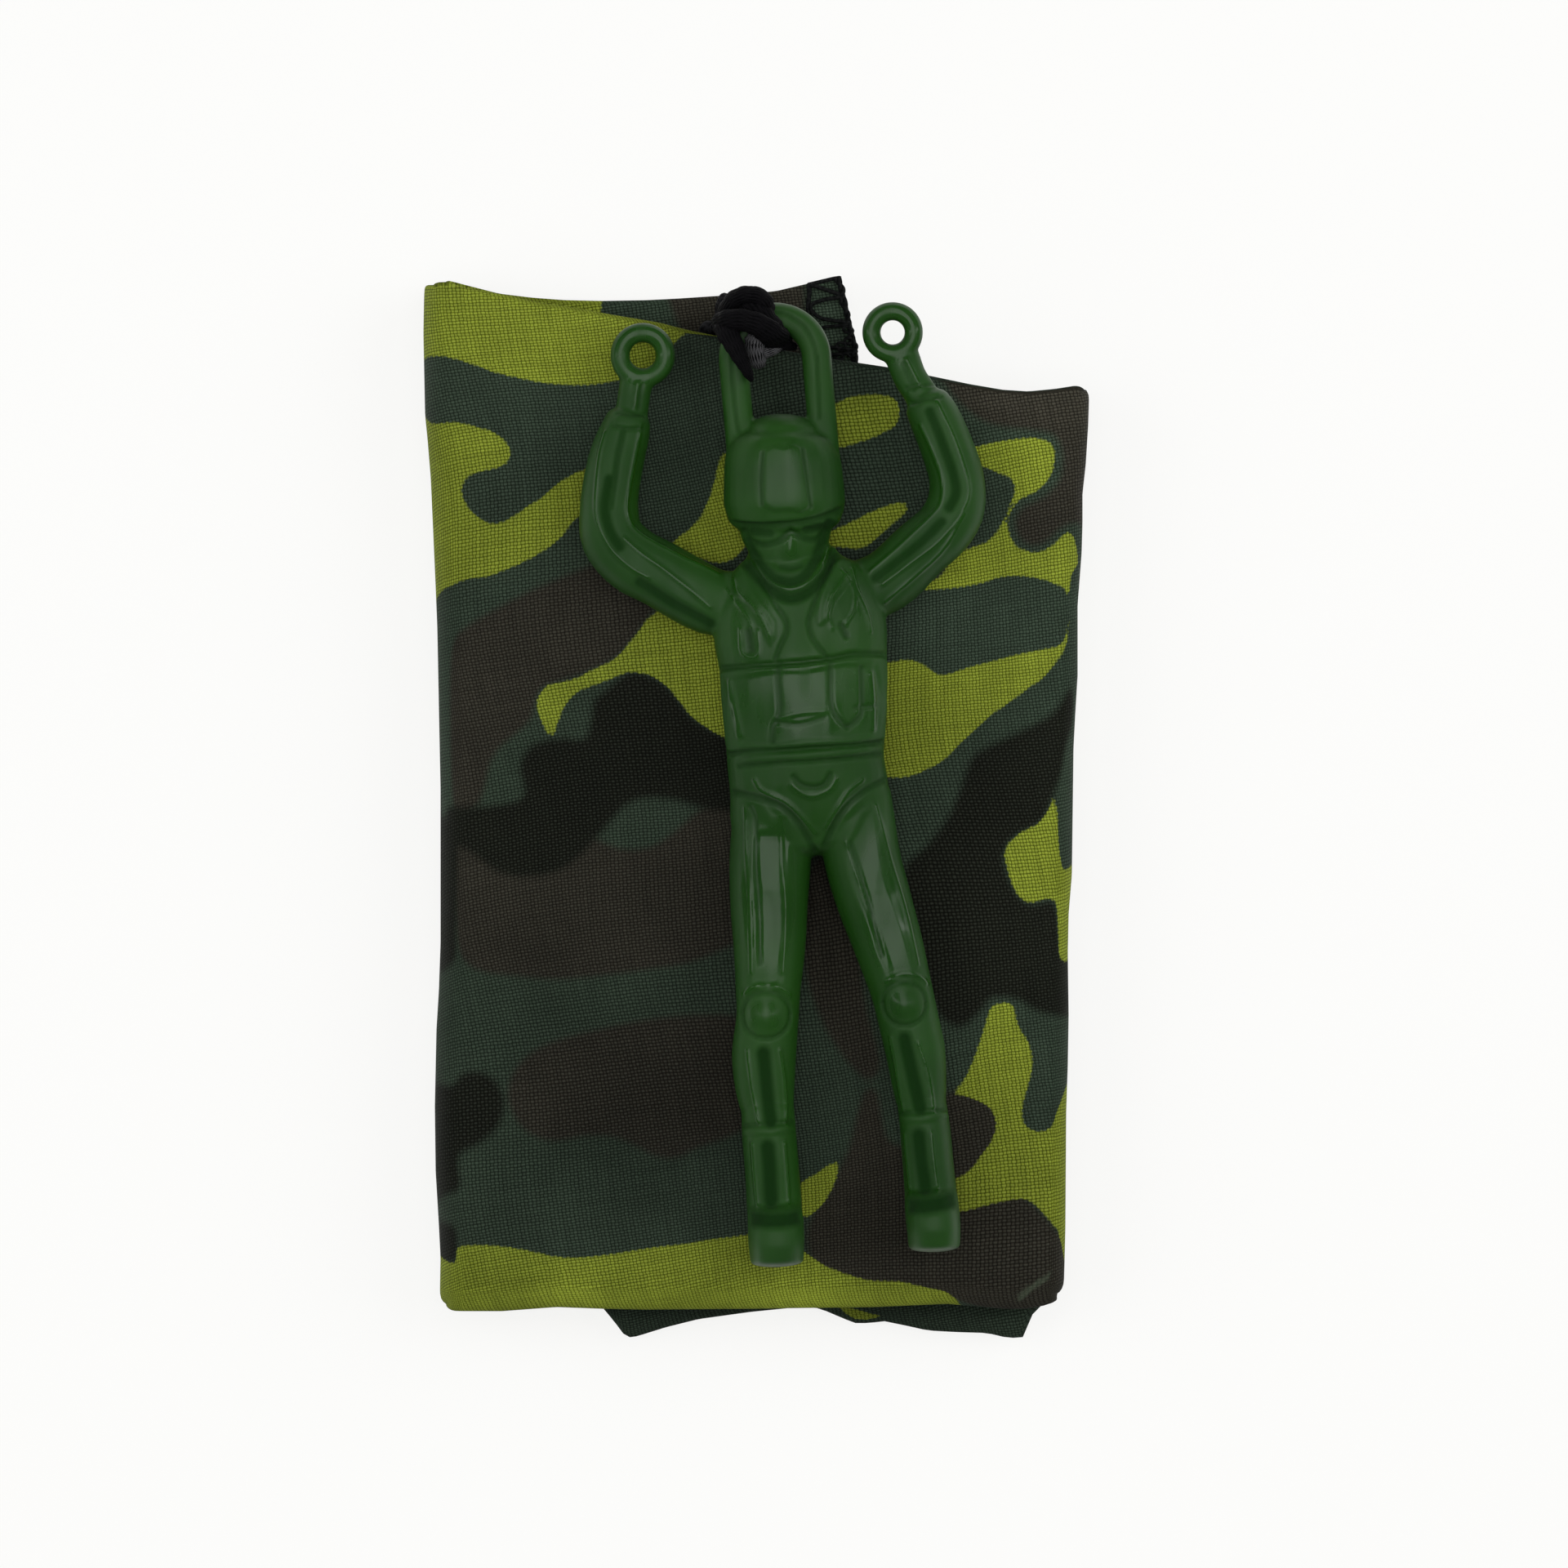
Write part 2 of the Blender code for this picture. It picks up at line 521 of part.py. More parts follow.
def pivot_place():
    """Where the bundle of lines meets the knot: the axis that the figure swings about."""
    _, outer, half_depth = knot_block_sizes()
    x, y = arch_point(KNOT_TURN, outer - KNOT_BALL_DIAMETER / 8)
    return Vector((x, y, LOOP_BAR_HEIGHT - half_depth - KNOT_BALL_DROP))


def make_knot(finish, figure_place):
    """The cord wrapped round the arch, bored out for the bar, with the ball it hangs by."""
    inner, outer, half_depth = knot_block_sizes()
    x, y = arch_point(KNOT_TURN, (inner + outer) / 2)
    half = (KNOT_LENGTH / 2, (outer - inner) / 2, half_depth)
    wrap = bevelled_block("loop_knot", Vector((x, y, LOOP_BAR_HEIGHT)), half, KNOT_BEVEL,
                          KNOT_TURN)
    knot = add_object("loop_knot", wrap, finish, figure_place)
    join_solids(knot, [ball_mesh("knot_ball", pivot_place(), KNOT_BALL_DIAMETER / 2)],
                figure_place)
    bore = sweep_mesh("knot_bore", arc_route(0.0, 2 * math.pi, 2 * ARC_STEPS)[:-1],
                      LOOP_BAR_WIDTH / 2 + KNOT_CLEARANCE, LOOP_BAR_DEPTH / 2 + KNOT_CLEARANCE,
                      BAR_SIDES, True, LOOP_BAR_HEIGHT)
    cut_away(knot, bore, figure_place)


def turn_centre(index):
    """Centre of one of the folds that the bundle of lines makes in the pocket."""
    pitch = 2 * FOLD_INNER_RADIUS + (LINE_COUNT - 1) * LINE_PITCH
    x = FIRST_RUN_PLACE - pitch * (index + 0.5)
    return x, (BOTTOM_TURN_PLACE if index % 2 == 0 else TOP_TURN_PLACE)


def folded_runs(lane):
    """Points of one line through the pocket's folds, a hank of long runs."""
    offset = (lane - (LINE_COUNT - 1) / 2) * LINE_PITCH
    half_pitch = FOLD_INNER_RADIUS + (LINE_COUNT - 1) * LINE_PITCH / 2
    points = []
    for index in range(TURN_COUNT):
        centre_x, centre_y = turn_centre(index)
        upward = -1 if index % 2 == 0 else 1
        radius = half_pitch + offset * -upward
        before = turn_centre(index - 1)[1] if index else None
        start_x = centre_x + radius
        if before is not None:
            for k in range(1, RUN_STEPS):
                share = k / RUN_STEPS
                points.append((start_x, before + (centre_y - before) * share, LINE_LEVEL))
        for k in range(TURN_STEPS + 1):
            turn = math.pi * k / TURN_STEPS
            points.append((centre_x + math.cos(turn) * radius,
                           centre_y + upward * math.sin(turn) * radius, LINE_LEVEL))
    return points


def smooth_route(points, steps):
    """Points along a Catmull-Rom curve through the given ones."""
    ends = [points[0] * 2 - points[1]] + points + [points[-1] * 2 - points[-2]]
    route = []
    for k in range(1, len(ends) - 2):
        a, b, c, d = ends[k - 1:k + 3]
        for step in range(steps):
            t = step / steps
            route.append(((b * 2) + (c - a) * t + (a * 2 - b * 5 + c * 4 - d) * t * t
                          + (b * 3 - a - c * 3 + d) * t ** 3) / 2)
    route.append(points[-1])
    return route


def line_route(lane, pivot):
    """One line: from its tie through the folds and the mouth to the knot."""
    x, y = [share * size for share, size in
            zip(TIE_PLACE_SHARES[lane], (PACKET_WIDTH, PACKET_LENGTH))]
    tie = Vector((x, y, TIE_LEVEL))
    start = tie + Vector((0.0, -TIE_DIAMETER / 2 - CLEARANCE, LINE_LEVEL - TIE_LEVEL))
    folds = [Vector(point) for point in folded_runs(lane)]
    first_run = [start, start + Vector((0.0, -TIE_DIAMETER, 0.0))]
    middle = (start + folds[0]) / 2
    first_run += [Vector((folds[0].x, middle.y + (start.y - middle.y) * share, LINE_LEVEL))
                  for share in STRAIGHT_SHARES]
    offset = (lane - (LINE_COUNT - 1) / 2) * LINE_PITCH
    side_share, depth_share = BUNDLE_SHARES[lane]
    last_middles = [Vector(point) for point in LAST_STRETCH]
    approach = Vector(APPROACH_SHARES).normalized()
    reach = KNOT_BALL_DIAMETER / 2 + CLEARANCE
    last_middles += [pivot - approach * (reach + TIE_DIAMETER), pivot - approach * reach]
    last_run = []
    for k, point in enumerate(last_middles):
        before = last_middles[max(k - 1, 0)]
        after = last_middles[min(k + 1, len(last_middles) - 1)]
        ahead = (after - before).normalized()
        side = ahead.cross(Vector((0.0, 0.0, 1.0))).normalized()
        rise = side.cross(ahead)
        gather = GATHER_SHARES[k]
        across = -offset * (1 - gather ** 2) + side_share * LINE_PITCH * gather ** 2
        depth = depth_share * LINE_PITCH * (1 - (1 - gather) ** 2)
        last_run.append(point + side * across + rise * depth)
    first = smooth_route(first_run + [folds[0]], 2)
    last = smooth_route([folds[-1]] + last_run, 3)
    return first[:-1] + folds[:-1] + last


def least_gap(routes):
    """The least gap between the surfaces of the lines, and of each line to itself."""
    least = math.inf
    window = round(math.pi * FOLD_INNER_RADIUS / LINE_DIAMETER)
    for a, route in enumerate(routes):
        for b in range(a, len(routes)):
            for i, point in enumerate(route):
                for j, other in enumerate(routes[b]):
                    if a == b and abs(i - j) < window:
                        continue
                    least = min(least, (point - other).length - LINE_DIAMETER)
    return least


def make_lines(finish, spine, pivot):
    """The lines as unbroken tubes, each with the tie that holds it to a canopy corner."""
    routes = []
    for lane in range(LINE_COUNT):
        route = line_route(lane, pivot)
        routes.append(route)
        curve = bpy.data.curves.new("line_%d" % (lane + 1), 'CURVE')
        curve.dimensions = '3D'
        curve.bevel_depth = LINE_DIAMETER / 2
        curve.bevel_resolution = LINE_BEVEL_RESOLUTION
        curve.use_fill_caps = True
        spline = curve.splines.new('POLY')
        spline.points.add(len(route) - 1)
        for point, place in zip(spline.points, route):
            point.co = (*(place - spine.location), 1.0)
        line = add_object("line_%d" % (lane + 1), curve, finish, spine)
        length = sum((b - a).length for a, b in zip(route, route[1:]))
        print("%s is %.1f mm long" % (line.name, length / MM))
        x, y = [share * size for share, size in
                zip(TIE_PLACE_SHARES[lane], (PACKET_WIDTH, PACKET_LENGTH))]
        tie_name = "corner_tie_%d" % (lane + 1)
        tie_place = Vector((x, y, TIE_LEVEL)) - spine.location
        add_object(tie_name, ball_mesh(tie_name, tie_place, TIE_DIAMETER / 2), finish, spine)
    print("least gap between lines %.2f mm" % (least_gap(routes) / MM))


def main():
    clear_scene()
    plastic = material("moulded_plastic", PLASTIC_COLOUR, 0.32)
    cloth = material("canopy_cloth", CLOTH_COLOUR, 0.8)
    thread = material("hem_thread", HEM_COLOUR, 0.85)
    cord = material("braided_cord", CORD_COLOUR, 0.85)
    spine = make_covers(cloth)
    make_hem(thread)
    figure_place = make_figure(plastic)
    make_knot(cord, figure_place)
    turned = Matrix.Rotation(FIGURE_TILT, 4, 'Z') @ pivot_place()
    pivot = figure_place.location + turned
    make_lines(cord, spine, pivot)
    print("knot pivot at %.3f, %.3f, %.3f mm" % tuple(pivot / MM))


main()
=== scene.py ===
"""Toy parachute: the folded cloth canopy, its lines and the moulded jumper.

Lengths are in millimetres until a mesh is made. Places that were traced are given as
pixels of the photograph and turned into millimetres on the table.
"""
import math

import bpy
import numpy as np
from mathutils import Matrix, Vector


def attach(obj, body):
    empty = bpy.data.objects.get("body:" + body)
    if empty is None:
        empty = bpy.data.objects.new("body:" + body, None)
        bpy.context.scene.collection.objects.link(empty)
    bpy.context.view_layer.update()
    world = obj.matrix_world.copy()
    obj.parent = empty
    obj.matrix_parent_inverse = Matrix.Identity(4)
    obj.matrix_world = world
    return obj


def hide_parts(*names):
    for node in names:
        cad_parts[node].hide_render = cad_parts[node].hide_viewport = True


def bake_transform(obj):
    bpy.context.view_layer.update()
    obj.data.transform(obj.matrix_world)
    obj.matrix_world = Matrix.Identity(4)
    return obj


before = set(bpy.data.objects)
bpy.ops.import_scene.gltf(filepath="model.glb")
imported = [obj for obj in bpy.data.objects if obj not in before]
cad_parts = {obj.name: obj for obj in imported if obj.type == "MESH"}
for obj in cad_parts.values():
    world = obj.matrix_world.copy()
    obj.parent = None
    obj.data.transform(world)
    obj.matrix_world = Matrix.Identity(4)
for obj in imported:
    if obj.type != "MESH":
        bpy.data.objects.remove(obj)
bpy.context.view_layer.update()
bpy.context.scene.view_settings.view_transform = 'Standard'

MM = 0.001
FULL_TURN = 2 * math.pi
WAVE_COUNT = 14

# The photograph: its size, its scale, and the pixel over the origin
FRAME_PIXELS = 1920
PIXEL = 95.0 / 1178
ORIGIN_PIXEL = (926.0, 989.0)
CAMERA_DISTANCE = 3000.0
SENSOR_WIDTH = 36.0
SHARP_LEVEL = 11.0

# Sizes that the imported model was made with
PACKET_WIDTH = 66.0
PACKET_LENGTH = 105.0
BACK_THICKNESS = 3.8
CLEARANCE = 0.3
FIGURE_LEVEL = 10.9
FIGURE_HEIGHT = 95.0
FIGURE_TILT = math.radians(4.9)
ARCH_PLACE = (0.0281 * PACKET_WIDTH, 0.4216 * PACKET_LENGTH)


def traced(points):
    """Pixels of the photograph as millimetres on the table."""
    flat = np.array(points, float)
    return np.column_stack(((flat[:, 0] - ORIGIN_PIXEL[0]) * PIXEL,
                            (ORIGIN_PIXEL[1] - flat[:, 1]) * PIXEL))


def ramp(low, high, value):
    share = np.clip((np.asarray(value, float) - low) / (high - low), 0.0, 1.0)
    return share * share * (3 - 2 * share)


def curve_through(points, steps, closed=False):
    """Points along a Catmull-Rom curve through the given ones."""
    p = np.array(points, float)
    if closed:
        p = np.vstack((p[-1:], p, p[:2]))
    else:
        p = np.vstack((2 * p[0] - p[1], p, 2 * p[-1] - p[-2]))
    made = []
    for k in range(1, len(p) - 2):
        a, b, c, d = p[k - 1:k + 3]
        for t in np.arange(steps) / steps:
            made.append((2 * b + (c - a) * t + (2 * a - 5 * b + 4 * c - d) * t * t
                         + (3 * b - a - 3 * c + d) * t ** 3) / 2)
    if not closed:
        made.append(p[-2])
    return np.array(made)


def around(count, offset=0.0):
    """Angles at even steps round a circle."""
    return FULL_TURN * (np.arange(count) + offset) / count


def waves(place, seed, length):
    """A smooth random field with blobs of about the given length, of unit spread."""
    rng = np.random.default_rng(seed)
    turns = rng.uniform(0, FULL_TURN, WAVE_COUNT)
    rates = FULL_TURN / (length * rng.uniform(0.7, 1.5, WAVE_COUNT))
    phases = rng.uniform(0, FULL_TURN, WAVE_COUNT)
    total = np.zeros(len(place))
    for turn, rate, phase in zip(turns, rates, phases):
        total += np.cos((place[:, 0] * math.cos(turn) + place[:, 1] * math.sin(turn)) * rate
                        + phase)
    return total / math.sqrt(WAVE_COUNT / 2)


def gap_to_line(place, line, closed=False):
    """Distance from each place to a line of points."""
    least = np.full(len(place), 1e9)
    ends = np.roll(line, -1, axis=0) if closed else line[1:]
    for a, b in zip(line, ends):
        ab = b - a
        share = np.clip(((place - a) @ ab) / max(ab @ ab, 1e-12), 0, 1)
        off = place - a - share[:, None] * ab
        least = np.minimum(least, off[:, 0] ** 2 + off[:, 1] ** 2)
    return np.sqrt(least)


def depth_inside(place, outline):
    """How far each place lies inside a closed outline, negative outside."""
    inside = np.zeros(len(place), bool)
    for a, b in zip(outline, np.roll(outline, -1, axis=0)):
        if a[1] == b[1]:
            continue
        crosses = (a[1] > place[:, 1]) != (b[1] > place[:, 1])
        at = (b[0] - a[0]) * (place[:, 1] - a[1]) / (b[1] - a[1]) + a[0]
        inside ^= crosses & (place[:, 0] < at)
    gap = gap_to_line(place, outline, True)
    return np.where(inside, gap, -gap)


def near_line(place, line, reach):
    """Which places lie in the box round a line, widened by a reach."""
    return np.all((place > line.min(0) - reach) & (place < line.max(0) + reach), axis=1)


def set_floats(mesh, fields):
    """Named numbers for each point of a mesh, which its material reads."""
    for key, values in fields.items():
        made = mesh.attributes.new(key, 'FLOAT', 'POINT')
        made.data.foreach_set("value", np.asarray(values, np.float32).ravel())


def mesh_object(name, points, faces, finish, corner_uv=None, floats=None):
    """An object from points in millimetres, with a UV place for each corner of each face."""
    mesh = bpy.data.meshes.new(name)
    mesh.from_pydata((np.asarray(points, float) * MM).tolist(), [],
                     [[int(i) for i in face] for face in faces])
    mesh.shade_smooth()
    if corner_uv is not None:
        layer = mesh.uv_layers.new(name="thread")
        layer.data.foreach_set("uv", np.asarray(corner_uv, np.float32).ravel())
    set_floats(mesh, floats or {})
    mesh.materials.append(finish)
    obj = bpy.data.objects.new(name, mesh)
    bpy.context.scene.collection.objects.link(obj)
    return obj


def directions(path, closed=False):
    """Unit steps along a path, at each of its points."""
    if closed:
        ahead = np.roll(path, -1, axis=0) - np.roll(path, 1, axis=0)
    else:
        ahead = np.gradient(path, axis=0)
    return ahead / np.linalg.norm(ahead, axis=1)[:, None]


def ring_faces(total, sides, closed):
    """Faces between rings of points, with flat caps where the rings don't close."""
    faces = []
    for r in range(total if closed else total - 1):
        s = (r + 1) % total
        faces += [(r * sides + i, r * sides + (i + 1) % sides, s * sides + (i + 1) % sides,
                   s * sides + i) for i in range(sides)]
    if not closed:
        faces.append(tuple(range(sides - 1, -1, -1)))
        faces.append(tuple(range((total - 1) * sides, total * sides)))
    return faces


# A cord's rounded end: for each ring, its share of the width and how far out it lies
CORD_CAP = ((0.95, 0.35), (0.72, 0.75), (0.30, 0.97))


def tube(route, half_width, half_depth=None, sides=12, closed=False):
    """A round or flattened cord along a route: its points, faces and the UVs of its corners."""
    path = np.array(route, float)
    count = len(path)
    wide = np.broadcast_to(np.asarray(half_width, float), (count,))
    deep = wide if half_depth is None else np.broadcast_to(np.asarray(half_depth, float), (count,))
    ahead = directions(path, closed)
    side = np.cross(ahead[0], (0.0, 0.0, 1.0))
    if np.linalg.norm(side) < 1e-3:
        side = np.cross(ahead[0], (1.0, 0.0, 0.0))
    sides_of = []
    for k in range(count):
        side = side - (side @ ahead[k]) * ahead[k]
        side = side / np.linalg.norm(side)
        sides_of.append(side)
    side = np.array(sides_of)
    rise = np.cross(side, ahead)
    along = np.concatenate(([0.0], np.cumsum(np.linalg.norm(np.diff(path, axis=0), axis=1))))
    turns = around(sides)
    rows = [(k, 1.0, 0.0) for k in range(count)]
    if not closed:
        rows = ([(0, share, -push) for share, push in reversed(CORD_CAP)] + rows
                + [(count - 1, share, push) for share, push in CORD_CAP])
    points = []
    lengths = []
    for k, scale, push in rows:
        reach = min(wide[k], deep[k])
        middle = path[k] + ahead[k] * push * reach
        points.append(middle + np.outer(np.cos(turns) * wide[k] * scale, side[k])
                      + np.outer(np.sin(turns) * deep[k] * scale, rise[k]))
        lengths.append(along[k] + push * reach)
    uv = []
    total = len(rows)
    for r in range(total if closed else total - 1):
        s = (r + 1) % total
        here = lengths[r]
        there = lengths[s] if s else here + np.linalg.norm(path[0] - path[-1])
        for i in range(sides):
            uv += [(i / sides, here), ((i + 1) / sides, here), ((i + 1) / sides, there),
                   (i / sides, there)]
    if not closed:
        uv += [(i / sides, lengths[0]) for i in range(sides - 1, -1, -1)]
        uv += [(i / sides, lengths[-1]) for i in range(sides)]
    return np.vstack(points), ring_faces(total, sides, closed), uv


def merged(parts):
    """Several sets of points, faces and UVs as one."""
    points = []
    faces = []
    uv = []
    start = 0
    for part_points, part_faces, part_uv in parts:
        points.append(part_points)
        faces += [tuple(i + start for i in face) for face in part_faces]
        uv += part_uv
        start += len(part_points)
    return np.vstack(points), faces, uv


# Materials

class Finish:
    """A node material that is built up from short calls."""

    def __init__(self, name, **sockets):
        self.material = bpy.data.materials.new(name)
        self.material.use_nodes = True
        self.nodes = self.material.node_tree.nodes
        self.links = self.material.node_tree.links
        self.shader = self.nodes["Principled BSDF"]
        for key, value in sockets.items():
            self.shader.inputs[key.replace("_", " ")].default_value = value

    def put(self, kind, inputs=None, **settings):
        made = self.nodes.new(kind)
        for key, value in settings.items():
            setattr(made, key, value)
        for key, value in (inputs or {}).items():
            self.feed(made.inputs[key], value)
        return made

    def feed(self, socket, value):
        if isinstance(value, bpy.types.NodeSocket):
            self.links.new(value, socket)
        else:
            socket.default_value = value

    def sum(self, operation, *values):
        made = self.put('ShaderNodeMath', operation=operation)
        for socket, value in zip(made.inputs, values):
            self.feed(socket, value)
        return made.outputs[0]

    def field(self, name):
        return self.put('ShaderNodeAttribute', attribute_name=name).outputs["Fac"]

    def thread(self):
        uv = self.put('ShaderNodeUVMap', uv_map="thread")
        split = self.put('ShaderNodeSeparateXYZ', {0: uv.outputs[0]})
        return split.outputs[0], split.outputs[1]

    def place(self):
        return self.put('ShaderNodeTexCoord').outputs["Object"]

    def noise(self, scale, detail, place=None):
        inputs = {"Scale": scale, "Detail": detail}
        inputs["Vector"] = self.place() if place is None else place
        return self.put('ShaderNodeTexNoise', inputs).outputs["Fac"]

    def streak(self, u, v, across, along):
        """Noise that differs from thread to thread and runs along each one."""
        place = self.put('ShaderNodeCombineXYZ', {0: self.sum('MULTIPLY', u, across),
                                                  1: self.sum('MULTIPLY', v, along)})
        return self.noise(1.0, 1.0, place.outputs[0])

    def blend(self, share, a, b):
        made = self.put('ShaderNodeMix', data_type='RGBA')
        self.feed(made.inputs[0], share)
        self.feed(made.inputs[6], a)
        self.feed(made.inputs[7], b)
        return made.outputs[2]

    def fit(self, value, low, high, to_low=0.0, to_high=1.0):
        """A smooth change from one number to another as the value goes from low to high."""
        made = self.put('ShaderNodeMapRange', {0: value, 1: low, 2: high, 3: to_low, 4: to_high},
                        interpolation_type='SMOOTHSTEP')
        return made.outputs[0]

    def dim(self, colour, share):
        """A colour times a number."""
        made = self.put('ShaderNodeVectorMath', operation='SCALE')
        self.feed(made.inputs[0], colour)
        self.feed(made.inputs["Scale"], share)
        return made.outputs[0]

    def bump(self, height, strength, distance):
        made = self.put('ShaderNodeBump', {"Strength": strength, "Distance": distance,
                                           "Height": height})
        self.links.new(made.outputs[0], self.shader.inputs["Normal"])

    def colour(self, value):
        self.feed(self.shader.inputs["Base Color"], value)

    def roughness(self, value):
        self.feed(self.shader.inputs["Roughness"], value)


LIME = (0.165, 0.203, 0.019, 1.0)
GREEN = (0.025, 0.038, 0.025, 1.0)
BROWN = (0.024, 0.022, 0.016, 1.0)
BLACK = (0.008, 0.009, 0.006, 1.0)
# Painted sheen: a pale grey-green laid on the crowns of the threads
PAINTED_SHEEN = (0.10, 0.12, 0.10, 1.0)
# Painted highlight on a crease of the cover
CREASE_HIGHLIGHT = (0.16, 0.22, 0.14, 1.0)
# The weave: its threads' pitch and drift in millimetres, and how full each hump is
WARP_PITCH = 0.36
WEFT_PITCH = 0.31
THREAD_DRIFT = 0.22
HUMP_POWER = 0.6
HUMP_DIP = 0.40
WARP_FULLNESS = 0.42
WEFT_FULLNESS = 0.60
CROSSING = (-0.14, 0.14)
STREAK_RATE = 0.16
# Where each colour of the print begins and ends to cover, in millimetres from its edge
LIME_EDGE = (-0.13, 0.13)
BROWN_EDGE = (-0.55, 0.55)
BLACK_EDGE = (-0.65, 0.65)
# A value's low and high ends, and how light the cloth is at each
CLOUD_SHADE = (0.3, 0.7, 0.84, 1.18)
STREAK_SHADE = (0.7, 1.3, 0.88, 1.12)
WEAVE_PAINTED_SHADE = (0.15, 0.90, 0.34, 1.62)
CROWN_PAINTED_SHEEN = (0.62, 0.98, 0.0, 0.12)
CREASE_HIGHLIGHT_SHARE = (0.0, 1.0, 0.0, 0.22)


def cloth_finish():
    """Thin plain-woven cloth with the camouflage print."""
    f = Finish("canopy_cloth", Roughness=0.85)
    f.shader.inputs["Specular IOR Level"].default_value = 0.12
    u, v = f.thread()
    place = f.put('ShaderNodeCombineXYZ', {0: u, 1: v}).outputs[0]
    shift = f.put('ShaderNodeTexNoise', {"Vector": place, "Scale": 0.9, "Detail": 2.0})
    apart = f.put('ShaderNodeSeparateXYZ', {0: shift.outputs["Color"]})
    across = f.sum('MULTIPLY_ADD', apart.outputs[0], THREAD_DRIFT, u)
    along = f.sum('MULTIPLY_ADD', apart.outputs[1], THREAD_DRIFT, v)
    warp = f.sum('COSINE', f.sum('MULTIPLY', across, math.pi / WARP_PITCH))
    weft = f.sum('COSINE', f.sum('MULTIPLY', along, math.pi / WEFT_PITCH))
    over = f.sum('MULTIPLY', warp, weft)
    warp = f.sum('ABSOLUTE', warp)
    weft = f.sum('ABSOLUTE', weft)
    warp_hump = f.sum('MULTIPLY', f.sum('POWER', warp, HUMP_POWER),
                      f.sum('MULTIPLY_ADD', weft, HUMP_DIP, WARP_FULLNESS))
    weft_hump = f.sum('MULTIPLY', f.sum('POWER', weft, HUMP_POWER),
                      f.sum('MULTIPLY_ADD', warp, HUMP_DIP, WEFT_FULLNESS))
    warp_over = f.fit(over, *CROSSING)
    height = f.sum('ADD', f.sum('MULTIPLY', warp_hump, warp_over),
                   f.sum('MULTIPLY', weft_hump, f.sum('SUBTRACT', 1.0, warp_over)))
    lime_edge = f.sum('MULTIPLY_ADD', over, 0.07, f.field("lime"))
    colour = f.blend(f.fit(f.field("brown"), *BROWN_EDGE), GREEN, BROWN)
    colour = f.blend(f.fit(f.field("black"), *BLACK_EDGE), colour, BLACK)
    colour = f.blend(f.fit(lime_edge, *LIME_EDGE), colour, LIME)
    cloudy = f.fit(f.noise(60.0, 3.0), *CLOUD_SHADE)
    streaks = f.sum('ADD', f.streak(u, v, 1 / WARP_PITCH, STREAK_RATE),
                    f.streak(u, v, STREAK_RATE, 1 / WEFT_PITCH))
    colour = f.dim(colour, f.sum('MULTIPLY', cloudy, f.fit(streaks, *STREAK_SHADE)))
    # Painted shade in the gaps between threads and painted light on their crowns
    colour = f.dim(colour, f.fit(height, *WEAVE_PAINTED_SHADE))
    # Painted light and shade in broad patches
    colour = f.dim(colour, f.field("painted_light_and_shade"))
    # Painted sheen on the thread crowns
    colour = f.blend(f.fit(height, *CROWN_PAINTED_SHEEN), colour, PAINTED_SHEEN)
    # A painted highlight on a crease of the cover
    f.colour(f.blend(f.fit(f.field("painted_highlight"), *CREASE_HIGHLIGHT_SHARE), colour, CREASE_HIGHLIGHT))
    f.bump(height, 0.75, 0.00009)
    return f.material


# The plastic: its two greens, the painted shade of its hollows, and how fine its flow marks are
PLASTIC_DARK = (0.0075, 0.0435, 0.003, 1.0)
PLASTIC_PALE = (0.012, 0.0585, 0.005, 1.0)
PLASTIC_HOLLOW_SHADE = (0.0015, 0.018, 0.0008, 1.0)
HOLLOW_SHADE_SHARE = 0.82
FLOW_SCALE = (760.0, 150.0, 150.0)
# Roughness over the flow marks, and what polish and hollows add to it
PLAIN_ROUGHNESS = (0.3, 0.7, 0.48, 0.60)
POLISH_ROUGHNESS = -0.33
HOLLOW_ROUGHNESS = 0.50


def plastic_finish():
    """Glossy moulded green plastic, slightly cloudy."""
    f = Finish("moulded_plastic", Roughness=0.30, Subsurface_Weight=0.12,
               Subsurface_Scale=0.0012)
    f.shader.inputs["Subsurface Radius"].default_value = (0.35, 1.0, 0.25)
    f.shader.inputs["Specular IOR Level"].default_value = 0.5
    cloudy = f.noise(85.0, 3.0)
    along = f.put('ShaderNodeVectorMath', {0: f.place(), 1: FLOW_SCALE}, operation='MULTIPLY')
    flow = f.noise(1.0, 3.0, along.outputs[0])
    colour = f.blend(f.fit(cloudy, 0.32, 0.68), PLASTIC_DARK, PLASTIC_PALE)
    hollow_shade = f.field("hollow_shade")
    # Painted shade: a darker green blended into the grooves
    f.colour(f.blend(f.sum('MULTIPLY', hollow_shade, HOLLOW_SHADE_SHARE), colour, PLASTIC_HOLLOW_SHADE))
    plain = f.fit(flow, *PLAIN_ROUGHNESS)
    plain = f.sum('MULTIPLY_ADD', f.field("polish"), POLISH_ROUGHNESS, plain)
    f.roughness(f.sum('MULTIPLY_ADD', hollow_shade, HOLLOW_ROUGHNESS, plain))
    f.bump(f.sum('MULTIPLY_ADD', flow, 0.10, cloudy), 0.25, 0.00018)
    return f.material


